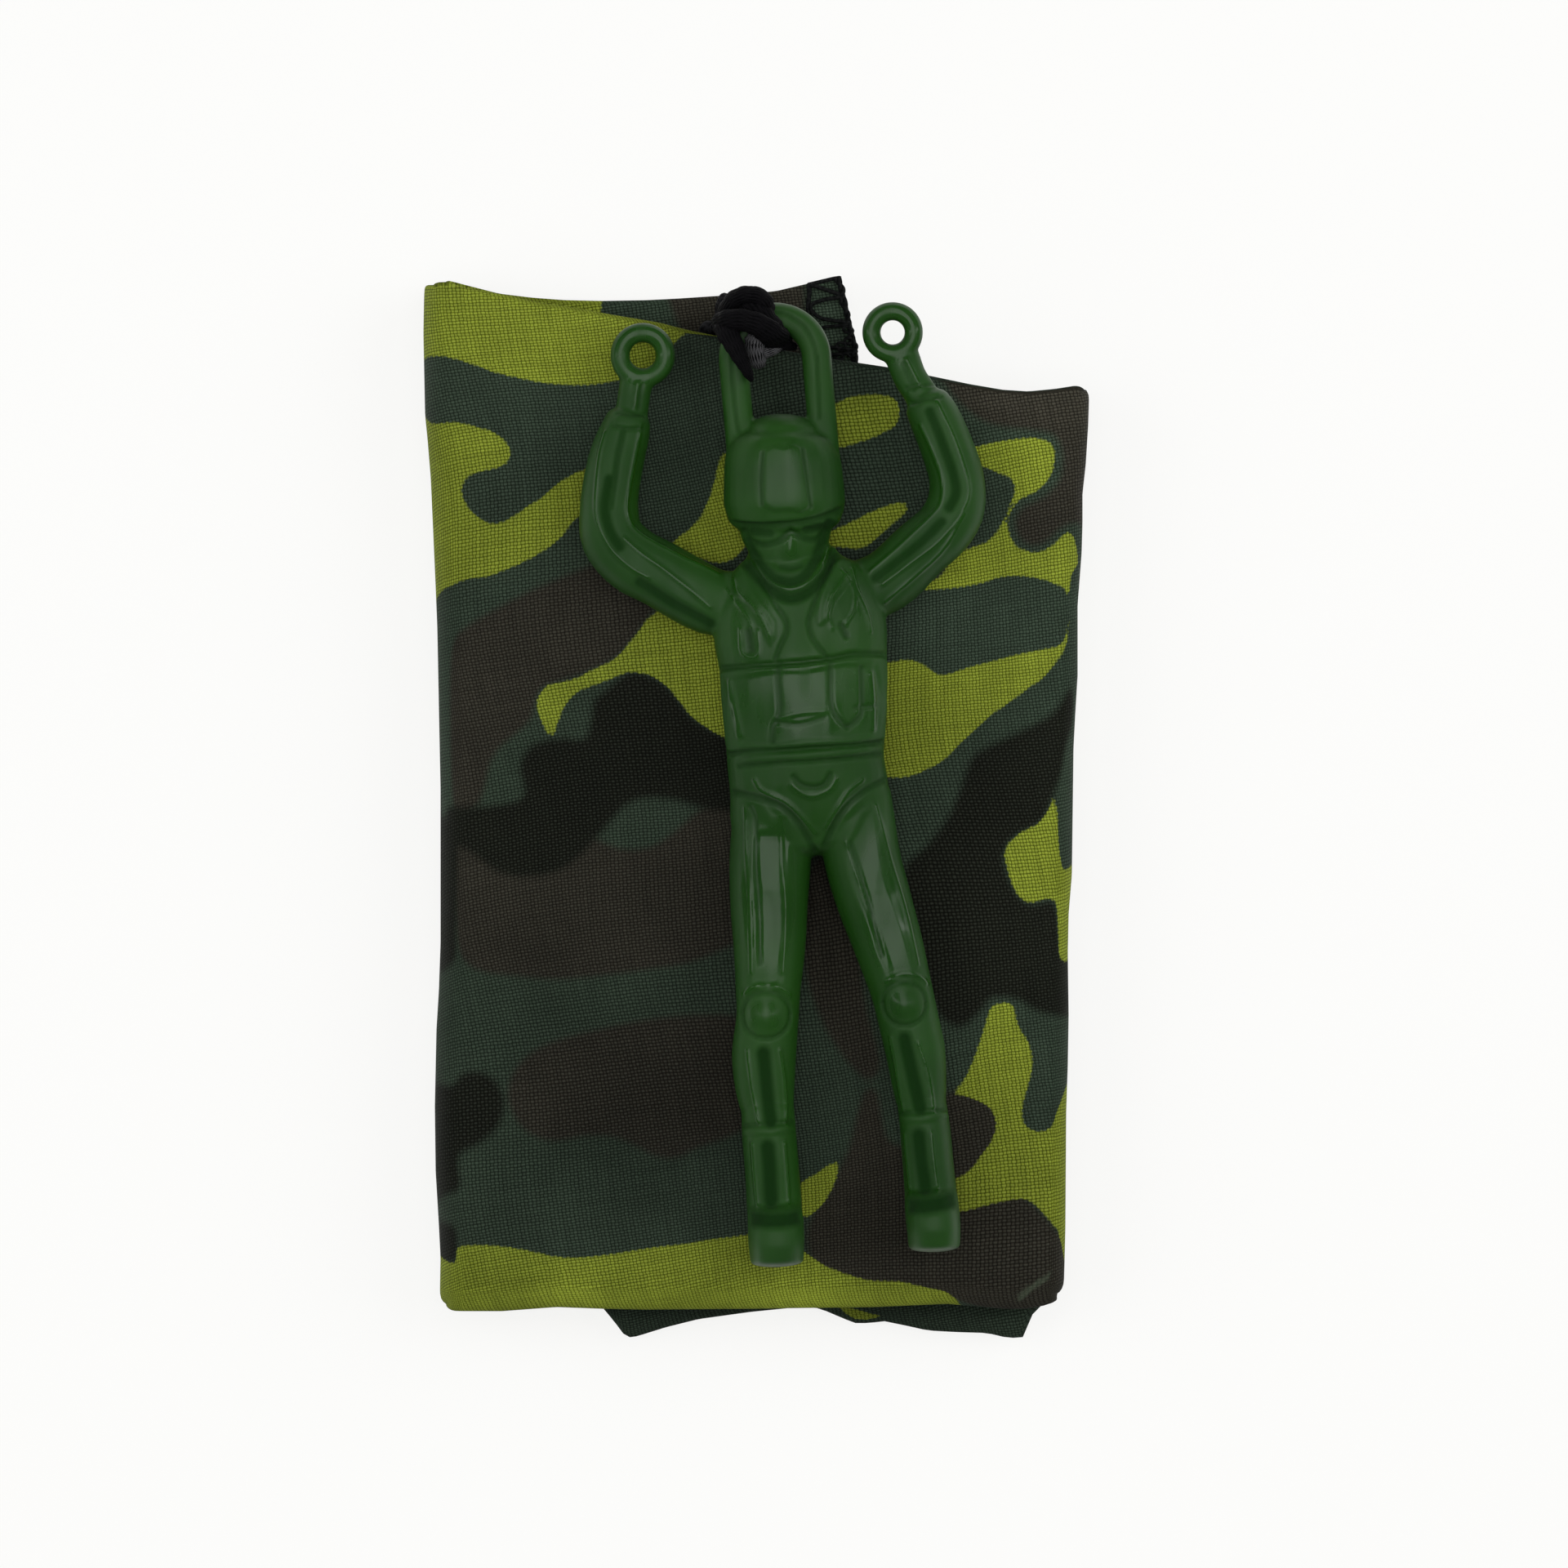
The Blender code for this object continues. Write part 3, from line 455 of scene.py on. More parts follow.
def braid_finish(name, dark, pale, pitch, strands, bump=0.6):
    """Soft braided cord: strands that cross both ways round it, with loose fibres."""
    f = Finish(name, Roughness=0.72)
    f.shader.inputs["Specular IOR Level"].default_value = 0.15
    across, along = f.thread()
    lean = f.sum('MULTIPLY', along, FULL_TURN / pitch)
    turn = f.sum('MULTIPLY', across, FULL_TURN * strands)
    one = f.sum('SINE', f.sum('ADD', lean, turn))
    two = f.sum('SINE', f.sum('SUBTRACT', lean, turn))
    height = f.sum('MAXIMUM', one, two)
    fibres = f.noise(5200.0, 3.0)
    # Paler strand crowns: partly the fibres' own tone and partly a painted highlight
    colour = f.blend(f.fit(f.sum('MULTIPLY_ADD', fibres, 1.6, height), 0.6, 2.2), dark, pale)
    # A painted highlight: pale grey on the strand crowns where the mesh marks it
    painted_highlight = f.fit(f.sum('MULTIPLY', f.field("painted_highlight"), f.fit(height, -0.4, 0.9)), 0.0, 1.0, 0.0, 0.6)
    f.colour(f.blend(painted_highlight, colour, (0.11, 0.11, 0.115, 1.0)))
    f.bump(f.sum('MULTIPLY_ADD', fibres, 0.8, height), bump, 0.00012)
    return f.material


def floor_finish():
    """A white table that shows as white and keeps the shadow on it."""
    f = Finish("table_white", Roughness=0.9)
    f.shader.inputs["Specular IOR Level"].default_value = 0.0
    f.shader.inputs["Base Color"].default_value = (0.93, 0.93, 0.92, 1.0)
    path = f.put('ShaderNodeLightPath')
    seen = f.sum('MAXIMUM', path.outputs["Is Camera Ray"],
                 f.sum('MAXIMUM', path.outputs["Is Glossy Ray"],
                       path.outputs["Is Transmission Ray"]))
    glow = f.put('ShaderNodeEmission', {"Color": (1.0, 1.0, 0.985, 1.0), "Strength": 1.0})
    share = f.sum('MULTIPLY', seen, 0.85)
    mix = f.put('ShaderNodeMixShader', {0: share, 1: f.shader.outputs[0], 2: glow.outputs[0]})
    f.links.new(mix.outputs[0], f.nodes["Material Output"].inputs[0])
    return f.material


CLOTH = cloth_finish()
PLASTIC = plastic_finish()
CORD = braid_finish("braided_cord", (0.004, 0.004, 0.005, 1.0), (0.016, 0.016, 0.018, 1.0),
                    1.1, 4)
KNOT_CORD = braid_finish("knot_cord", (0.0012, 0.0012, 0.0016, 1.0),
                         (0.0040, 0.0036, 0.0046, 1.0), 2.6, 20, 0.45)
THREAD = braid_finish("hem_thread", (0.0035, 0.004, 0.004, 1.0), (0.010, 0.011, 0.0105, 1.0),
                      0.9, 1, 0.25)


# Camera, table and light

WORLD_LIGHT = 0.12
# The table: a flat round whose rim curves up, in metres, set a little below the object
TABLE_RADIUS = 3.1
RIM_RADIUS = 0.3
RIM_STEPS = 12
TABLE_SIDES = 96
TABLE_DROP = 0.00002
# Each softbox: its place and size in metres, how bright its face is, and whether it is mirrored
SOFTBOXES = (("softbox_over", (0.0, 0.09, 0.60), (0.34, 0.56), 1.15, True),
             ("softbox_top", (0.0, 0.0, 0.90), (0.5, 0.5), 1.9, False),
             ("softbox_left", (-0.75, 0.05, 0.62), (1.0, 1.0), 1.75, False),
             ("softbox_right", (0.75, 0.20, 0.62), (1.0, 1.0), 2.1, False),
             ("strip_left", (-0.42, 0.05, 0.62), (0.05, 0.6), 2.2, True),
             ("strip_right", (0.46, 0.10, 0.62), (0.05, 0.6), 2.2, True))


def make_stage():
    rows = [(TABLE_RADIUS, 0.0)]
    rows += [(TABLE_RADIUS + RIM_RADIUS * math.sin(t), RIM_RADIUS - RIM_RADIUS * math.cos(t))
             for t in np.linspace(0.1, math.pi / 2, RIM_STEPS)]
    points = [(0.0, 0.0, 0.0)]
    points += [(r * math.cos(t), r * math.sin(t), z) for r, z in rows for t in around(TABLE_SIDES)]
    faces = [(0, 1 + i, 1 + (i + 1) % TABLE_SIDES) for i in range(TABLE_SIDES)]
    bands = ring_faces(len(rows), TABLE_SIDES, False)[:-2]
    faces += [tuple(1 + i for i in reversed(band)) for band in bands]
    floor = bpy.data.meshes.new("table")
    floor.from_pydata(points, [], faces)
    floor.shade_smooth()
    floor.materials.append(floor_finish())
    table = bpy.data.objects.new("table", floor)
    table.location.z = -TABLE_DROP
    bpy.context.scene.collection.objects.link(table)

    camera = bpy.data.objects.new("camera", bpy.data.cameras.new("camera"))
    bpy.context.scene.collection.objects.link(camera)
    middle = traced([(FRAME_PIXELS / 2, FRAME_PIXELS / 2)])[0] * MM
    camera.location = (middle[0], middle[1], (CAMERA_DISTANCE + SHARP_LEVEL) * MM)
    camera.data.sensor_width = SENSOR_WIDTH
    camera.data.lens = SENSOR_WIDTH * CAMERA_DISTANCE / (FRAME_PIXELS * PIXEL)
    camera.data.clip_start = 0.1
    camera.data.clip_end = 20.0
    bpy.context.scene.camera = camera

    world = bpy.data.worlds.new("studio")
    bpy.context.scene.world = world
    world.use_nodes = True
    nodes = world.node_tree.nodes
    back = nodes["Background"]
    back.inputs[0].default_value = (1.0, 1.0, 1.0, 1.0)
    back.inputs[1].default_value = WORLD_LIGHT

    for name, place, size, bright, mirrored in SOFTBOXES:
        light = bpy.data.lights.new(name, 'AREA')
        light.shape = 'ELLIPSE'
        light.size, light.size_y = size
        light.energy = bright * math.pi * math.pi * size[0] * size[1] / 4
        lamp = bpy.data.objects.new(name, light)
        lamp.location = place
        lamp.visible_camera = False
        lamp.visible_glossy = mirrored
        lamp.rotation_euler = (Vector((0.0, 0.0, 0.01)) - Vector(place)).to_track_quat(
            '-Z', 'Y').to_euler()
        bpy.context.scene.collection.objects.link(lamp)


make_stage()

# The lines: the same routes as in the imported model

LINE_DIAMETER = 1.3
LINE_GAP = 0.5
LINE_PITCH = LINE_DIAMETER + LINE_GAP
LINE_COUNT = 4
LINE_LEVEL = BACK_THICKNESS + CLEARANCE + LINE_DIAMETER / 2
FOLD_INNER_RADIUS = 3.9
TOP_TURN_PLACE = 20.0
BOTTOM_TURN_PLACE = -36.0
FIRST_RUN_PLACE = 22.0
TURN_COUNT = 3
TURN_STEPS = 8
RUN_STEPS = 14
TIE_DIAMETER = 2.6
TIE_LEVEL = BACK_THICKNESS + CLEARANCE + TIE_DIAMETER / 2
KNOT_BALL_DIAMETER = 3.4
TIE_PLACE_SHARES = ((0.264, 0.330), (0.310, 0.338), (0.356, 0.338), (0.403, 0.330))
PIVOT = np.array((-2.338, 49.653, 10.600))
LAST_STRETCH = ((-17.0, 14.0, LINE_LEVEL), (-16.4, 24.0, LINE_LEVEL),
                (-12.6, 33.5, LINE_LEVEL), (-6.6, 40.2, LINE_LEVEL),
                (-3.4, 44.4, LINE_LEVEL), (-2.4, 47.2, LINE_LEVEL + 0.7))
APPROACH_SHARES = (0.05, 0.30, 0.95)
BUNDLE_SHARES = ((0.5, 0.62), (0.5, -0.62), (-0.5, -0.62), (-0.5, 0.62))
GATHER_SHARES = (0.0, 0.0, 0.0, 0.0, 0.0, 0.35, 0.8, 1.0)
STRAIGHT_SHARES = (0.45, 0.35, 0.0, -0.5)


def tie_place(lane):
    x, y = TIE_PLACE_SHARES[lane]
    return np.array((x * PACKET_WIDTH, y * PACKET_LENGTH, TIE_LEVEL))


def folded_runs(lane):
    """Points of one line through the pocket's folds, a hank of long runs."""
    offset = (lane - (LINE_COUNT - 1) / 2) * LINE_PITCH
    half_pitch = FOLD_INNER_RADIUS + (LINE_COUNT - 1) * LINE_PITCH / 2
    centres = [(FIRST_RUN_PLACE - 2 * half_pitch * (k + 0.5),
                TOP_TURN_PLACE if k % 2 else BOTTOM_TURN_PLACE) for k in range(TURN_COUNT)]
    points = []
    for index, (centre_x, centre_y) in enumerate(centres):
        upward = 1 if index % 2 else -1
        radius = half_pitch - offset * upward
        if index:
            before = centres[index - 1][1]
            points += [(centre_x + radius, before + (centre_y - before) * k / RUN_STEPS,
                        LINE_LEVEL) for k in range(1, RUN_STEPS)]
        turns = [math.pi * k / TURN_STEPS for k in range(TURN_STEPS + 1)]
        points += [(centre_x + math.cos(turn) * radius,
                    centre_y + upward * math.sin(turn) * radius, LINE_LEVEL) for turn in turns]
    return np.array(points)


def unit(vector):
    return vector / np.linalg.norm(vector)


def line_route(lane):
    """One line: from its tie through the folds and the mouth to the knot."""
    start = tie_place(lane) + (0.0, -TIE_DIAMETER / 2 - CLEARANCE, LINE_LEVEL - TIE_LEVEL)
    folds = folded_runs(lane)
    middle = (start + folds[0]) / 2
    first_run = [start, start + (0.0, -TIE_DIAMETER, 0.0)]
    first_run += [np.array((folds[0][0], middle[1] + (start[1] - middle[1]) * share, LINE_LEVEL))
                  for share in STRAIGHT_SHARES]
    offset = (lane - (LINE_COUNT - 1) / 2) * LINE_PITCH
    side_share, depth_share = BUNDLE_SHARES[lane]
    approach = unit(np.array(APPROACH_SHARES))
    reach = KNOT_BALL_DIAMETER / 2 + CLEARANCE
    middles = [np.array(point) for point in LAST_STRETCH]
    middles += [PIVOT - approach * (reach + TIE_DIAMETER), PIVOT - approach * reach]
    last_run = []
    for k, point in enumerate(middles):
        ahead = unit(middles[min(k + 1, len(middles) - 1)] - middles[max(k - 1, 0)])
        side = unit(np.cross(ahead, (0.0, 0.0, 1.0)))
        rise = np.cross(side, ahead)
        gather = GATHER_SHARES[k]
        across = -offset * (1 - gather ** 2) + side_share * LINE_PITCH * gather ** 2
        depth = depth_share * LINE_PITCH * (1 - (1 - gather) ** 2)
        last_run.append(point + side * across + rise * depth)
    first = curve_through(first_run + [folds[0]], 2)
    last = curve_through([folds[-1]] + last_run, 3)
    return np.vstack((first[:-1], folds[:-1], last))


def make_lines():
    for lane in range(LINE_COUNT):
        route = line_route(lane)
        fine = curve_through(route, 2)
        points, faces, uv = tube(fine, LINE_DIAMETER / 2)
        name = "line_%d" % (lane + 1)
        cord = mesh_object(name + "_braid", points, faces, CORD, uv)
        length = np.linalg.norm(np.diff(fine, axis=0), axis=1).sum() * MM
        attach(cord, "front_cover")
        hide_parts(name)


# The tie's overhand knot: its scale, and the tail that leaves it
TIE_SCALE = (0.28, 0.28, 0.45)
TIE_TAIL = ((0.3, 0.5, -0.5), (0.5, 1.2, -0.7), (0.3, 2.2, -0.8))
TIE_REACH = 0.50
TIE_TAIL_REACH = 0.42


def make_ties():
    """A small overhand knot where each line is tied to a corner of the canopy."""
    turns = around(48)
    knot = np.column_stack((np.sin(turns) + 2 * np.sin(2 * turns),
                            np.cos(turns) - 2 * np.cos(2 * turns), -np.sin(3 * turns)))
    for lane in range(LINE_COUNT):
        route = tie_place(lane) + knot * TIE_SCALE
        tail = tie_place(lane) + np.array(TIE_TAIL)
        points, faces, uv = merged([tube(route, TIE_REACH, sides=10, closed=True),
                                    tube(curve_through(tail, 4), TIE_TAIL_REACH, sides=10)])
        name = "corner_tie_%d" % (lane + 1)
        tie = mesh_object(name + "_knot", points, faces, CORD, uv)
        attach(tie, "front_cover")
        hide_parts(name)


make_lines()
make_ties()

# The canopy: one sheet folded in four along its length and in three books along its width.
# Outlines of its top and bottom edges are places along the photograph's x, and the left and
# right ones along its y.

FRONT_TOP_EDGE = ((515, 337), (525, 337), (545, 344), (570, 352), (617, 361), (661, 370),
                  (706, 377), (750, 385), (809, 395), (843, 404), (878, 411), (950, 427),
                  (1017, 439), (1085, 449), (1144, 461), (1187, 470), (1228, 477), (1259, 479),
                  (1291, 476), (1323, 471), (1336, 470))
FRONT_BOTTOM_EDGE = ((528, 1606), (614, 1606), (654, 1603), (681, 1601), (734, 1603),
                     (788, 1604), (919, 1603), (1067, 1601), (1158, 1597), (1228, 1603),
                     (1255, 1603), (1284, 1598), (1310, 1592))
LEFT_EDGE = ((330, 520), (345, 518), (400, 517), (500, 519), (529, 522), (577, 526),
             (643, 529), (710, 532), (760, 534), (960, 538), (1017, 538), (1151, 538),
             (1209, 536), (1258, 533), (1354, 531), (1434, 532), (1501, 536), (1541, 538),
             (1590, 537), (1610, 537))
RIGHT_EDGE = ((465, 1334), (487, 1334), (519, 1333), (567, 1330), (603, 1326), (639, 1326),
              (674, 1325), (739, 1320), (824, 1320), (874, 1317), (912, 1315), (989, 1314),
              (1067, 1313), (1115, 1309), (1163, 1308), (1239, 1309), (1300, 1308),
              (1357, 1306), (1500, 1305), (1579, 1303), (1605, 1301))
LEDGE_EDGE = ((515, 337), (530, 338), (556, 344), (610, 358), (650, 363), (690, 366),
              (735, 367), (789, 366), (828, 364), (888, 360), (947, 355), (987, 346),
              (1025, 337), (1060, 336))
UNDER_TOP_EDGE = ((515, 339), (556, 350), (690, 378), (800, 392), (900, 400), (1000, 420),
                  (1030, 440), (1090, 466), (1190, 486), (1260, 494), (1330, 488))
FIRST_PEEK_EDGE = ((528, 1604), (700, 1600), (738, 1604), (753, 1622), (761, 1634),
                   (772, 1640), (783, 1637), (815, 1627), (855, 1617), (920, 1608),
                   (980, 1602), (1060, 1598), (1310, 1590))
SECOND_PEEK_EDGE = ((528, 1602), (960, 1600), (1003, 1604), (1027, 1614), (1046, 1622),
                    (1067, 1622), (1080, 1619), (1110, 1625), (1137, 1631), (1174, 1633),
                    (1210, 1634), (1228, 1639), (1250, 1641), (1258, 1626), (1266, 1602),
                    (1290, 1594), (1310, 1590))
HEM_EDGE = ((337, 1029), (345, 1032), (353, 1034), (376, 1039), (399, 1044), (422, 1050),
            (443, 1051), (700, 1047), (1100, 1050), (1620, 1046))


def edge_table(points, along_y=False):
    """An edge as a function: of x for the top and bottom ones, of y for the sides."""
    flat = [(b, a) for a, b in points] if along_y else points
    line = traced(flat)
    key, value = (1, 0) if along_y else (0, 1)
    line = line[np.argsort(line[:, key])]
    return lambda at: np.interp(at, line[:, key], line[:, value])


front_top = edge_table(FRONT_TOP_EDGE)
front_bottom = edge_table(FRONT_BOTTOM_EDGE)
left_edge = edge_table(LEFT_EDGE, True)
right_edge = edge_table(RIGHT_EDGE, True)
ledge_top = edge_table(LEDGE_EDGE)
under_top = edge_table(UNDER_TOP_EDGE)
first_peek = edge_table(FIRST_PEEK_EDGE)
second_peek = edge_table(SECOND_PEEK_EDGE)
hem_edge = edge_table(HEM_EDGE, True)

LAYERS = 12
INMOST = LAYERS - 1
INMOST_OF_THIRD = 7
# How far the folds bulge out at the spine, the open side, the ends and inside
SPINE_REACH = 2.4
SIDE_REACH = 1.5
BOTTOM_REACH = 2.0
TOP_REACH = 0.35
INNER_REACH = 0.6
FRONT_FOLD_SPAN = 5.5
BACK_FOLD_SPAN = 3.5
# A panel before its edges are known: its left edge, widths, half length and middle
ROUGH_LEFT = -32.4
ROUGH_WIDTH = 64.6
ROUGH_HEM_WIDTH = 42.0
HALF_RUN = 51.5
MIDDLE = 0.5
LAST_PANEL_INSET = 3.0
# How far the edges of the back panels lie inside those of the front
BACK_INSETS = {"left": 0.1, "right": 0.6, "bottom": 0.4, "top": 0.3}
# Levels of the stacks: lowest, rise, and the swell between
BACK_LOW = 0.14
BACK_RISE = 3.64
BACK_SWELL = 0.25
HEM_SLOPE = (0.3, 5.0)
FRONT_LOW = 4.14
POCKET_RISE = 2.72
POCKET_EDGE = (0.0, 3.0)
MOUTH_EDGE = (0.0, 1.5)
FRONT_CREST = 10.92
FRONT_SWELL = 0.02
# How the front cover falls at its bottom, top, right and left: depth, start, end, power
EDGE_FALLS = ((2.6, -1.0, 6.5, 1.6), (1.0, 0, 2.4, 1), (1.2, 0, 4.5, 2), (0.5, 0, 4.0, 1))
# Packet corners that are rounded: place, way out, radius
CORNERS = ((-32.9, 52.6, -1, 1, 1.5), (32.9, 41.8, 1, 1, 1.3),
           (30.9, -49.3, 1, -1, 2.6), (-31.5, -49.9, -1, -1, 1.8))
POCKET_OUTLINE = np.array(((-0.415, -0.440), (0.425, -0.440), (0.435, 0.300), (0.420, 0.355),
                           (0.190, 0.365), (0.120, 0.385), (0.000, 0.410), (-0.215, 0.420),
                           (-0.360, 0.350), (-0.415, 0.200))) * (PACKET_WIDTH, PACKET_LENGTH)
MOUTH = np.array(((-8.4, 38.0), (1.6, 38.0), (1.6, 56.0), (-8.4, 56.0)))

# Where each panel lies on the flat sheet: its offset and direction, across and along
ACROSS = {"b_front": (0.0, 1), "a_front": (68.0, -1), "a_back": (138.0, 1),
          "b_back": (-70.0, -1), "c_back": (-138.0, 1), "c_front": (-208.0, -1)}
ALONG = {0: (-107.0, -1), 1: (0.0, 1), 2: (103.2, -1), 3: (206.4, 1)}


def length_samples():
    """Samples down the sheet: its level in a group of four, its place, its outward bulge."""
    rows = []

    def run(level, strip, start, end, count):
        for share in np.linspace(0, 1, count):
            rows.append((level, start + (end - start) * share, 0.0, strip, strip, 0.0))

    def fold(first, last, place, reach, strip_a, strip_b, count):
        for share in (np.arange(count) + 1) / (count + 1):
            turn = math.pi * share
            level = (first + last) / 2 + (first - last) / 2 * math.cos(turn)
            rows.append((level, place, place * reach * math.sin(turn), strip_a, strip_b, share))

    run(3.0, 0, 1, -1, 70)
    fold(3.0, 0.0, -1, BOTTOM_REACH, 0, 1, 11)
    run(0.0, 1, -1, 1, 170)
    fold(0.0, 1.0, 1, TOP_REACH, 1, 2, 7)
    run(1.0, 2, 1, -1, 100)
    fold(1.0, 2.0, -1, INNER_REACH, 2, 3, 7)
    run(2.0, 3, -1, 1, 70)
    return rows


def levels_of(panel, level):
    """A panel's place in the stack, from 0 outside to the inmost."""
    return {"a": INMOST - level, "b": level, "c": INMOST_OF_THIRD - level}[panel[0]]


def edges_of(panel, x, y):
    """The panel's left, right, bottom and top edges near a place."""
    if panel.endswith("front"):
        return left_edge(y), right_edge(y), front_bottom(x), front_top(x)
    left = left_edge(y) + BACK_INSETS["left"]
    if panel == "a_back":
        return left, hem_edge(y), first_peek(x), ledge_top(x)
    right = right_edge(y) - BACK_INSETS["right"]
    if panel == "c_back":
        return left, right, second_peek(x), under_top(x)
    return left, right, front_bottom(x) + BACK_INSETS["bottom"], under_top(x) - BACK_INSETS["top"]


def heights(side, k, x, y):
    """Level of layer k on one side of the book."""
    place = np.column_stack((x, y))
    if side == "back":
        lofted = 1 + (INMOST / INMOST_OF_THIRD - 1) * ramp(*HEM_SLOPE, x - hem_edge(y))
        share = np.minimum(k / INMOST * lofted, 1.0)
        swell = BACK_SWELL * np.sin(math.pi * share) * waves(place, 9, 30.0)
        return BACK_LOW + share * BACK_RISE + swell
    high = FRONT_CREST + FRONT_SWELL * waves(place, 5, 38.0)
    gaps = (y - front_bottom(x), front_top(x) - y, right_edge(y) - x, x - left_edge(y))
    for gap, (depth, start, end, power) in zip(gaps, EDGE_FALLS):
        high = high - depth * (1 - ramp(start, end, gap)) ** power
    room = np.maximum(ramp(*POCKET_EDGE, depth_inside(place, POCKET_OUTLINE)),
                      ramp(*MOUTH_EDGE, depth_inside(place, MOUTH)))
    low = FRONT_LOW + POCKET_RISE * room
    return low + (INMOST - k) / INMOST * (high - low)


def panel_points(panel, share, rows):
    """Places of one line across a panel, for every sample down the sheet."""
    level, eta, bulge = rows[:, 0], rows[:, 1], rows[:, 2]
    y = eta * HALF_RUN + MIDDLE
    width = ROUGH_HEM_WIDTH if panel == "a_back" else ROUGH_WIDTH
    x = np.full(len(rows), ROUGH_LEFT + share * width)
    inset = {"a_back": 0.0, "c_front": LAST_PANEL_INSET}.get(panel, SIDE_REACH)
    for _ in range(2):
        left, right, bottom, top = edges_of(panel, x, y)
        x = left + SPINE_REACH + share * (right - inset - left - SPINE_REACH)
        low = bottom + BOTTOM_REACH
        high = top - TOP_REACH
        y = low + (eta + 1) / 2 * (high - low)
    k = levels_of(panel, level)
    side = "front" if panel.endswith("front") else "back"
    z = heights(side, k, x, y)
    return x, y + bulge, z, k


def width_samples():
    """Lines across the sheet in order: a panel's run, or a fold between two panels."""
    lines = []

    def run(panel, start, end, count):
        lines.extend([(panel, s, None, 0.0) for s in np.linspace(start, end, count)])

    def fold(panel, place, other, other_place, count):
        for share in (np.arange(count) + 1) / (count + 1):
            lines.append((panel, place, (other, other_place), share))

    run("c_front", 1, 0, 40)
    fold("c_front", 0, "c_back", 0, 12)
    run("c_back", 0, 1, 60)
    fold("c_back", 1, "b_back", 1, 9)
    run("b_back", 1, 0, 44)
    fold("b_back", 0, "b_front", 0, 15)
    run("b_front", 0, 1, 106)
    fold("b_front", 1, "a_front", 1, 13)
    run("a_front", 1, 0, 64)
    fold("a_front", 0, "a_back", 0, 12)
    run("a_back", 0, 1, 60)
    return lines


def rounded_corners(x, y):
    """Rounds the packet's corners as seen from above."""
    for cx, cy, sx, sy, radius in CORNERS:
        a = (x - (cx - sx * radius)) * sx
        b = (y - (cy - sy * radius)) * sy
        near = (a > 0) & (b > 0)
        pull = np.where(near, np.maximum(a, b) / np.maximum(np.hypot(a, b), 1e-9), 1.0)
        x = np.where(near, cx - sx * radius + sx * a * pull, x)
        y = np.where(near, cy - sy * radius + sy * b * pull, y)
    return x, y


def sheet_places():
    """The sheet's points in space and on the flat cloth."""
    rows = np.array(length_samples())
    lines = width_samples()
    space = []
    flat = []
    for panel, share, other, turned in lines:
        x, y, z, k = panel_points(panel, share, rows)
        offset, way = ACROSS[panel]
        across = offset + way * x
        if other:
            x2, y2, z2, k2 = panel_points(other[0], other[1], rows)
            offset, way = ACROSS[other[0]]
            across = across * (1 - turned) + (offset + way * x2) * turned
            turn = math.pi * turned
            if share == 0:
                reach = -SPINE_REACH * (LAYERS - k) / LAYERS
            else:
                span = FRONT_FOLD_SPAN if "front" in panel else BACK_FOLD_SPAN
                reach = SIDE_REACH * np.abs(k - k2) / 2 / span
            flip = (1 - math.cos(turn)) / 2
            x = x * (1 - flip) + x2 * flip + reach * math.sin(turn)
            y = y * (1 - flip) + y2 * flip
            z = z * (1 - flip) + z2 * flip
        down = []
        for row, value in zip(rows, y - rows[:, 2]):
            first, second = ALONG[int(row[3])], ALONG[int(row[4])]
            a = first[0] + first[1] * value
            b = second[0] + second[1] * value
            down.append(a * (1 - row[5]) + b * row[5])
        x, y = rounded_corners(x, y)
        space.append(np.column_stack((x, y, z)))
        flat.append(np.column_stack((across, down)))
    return np.array(space), np.array(flat)


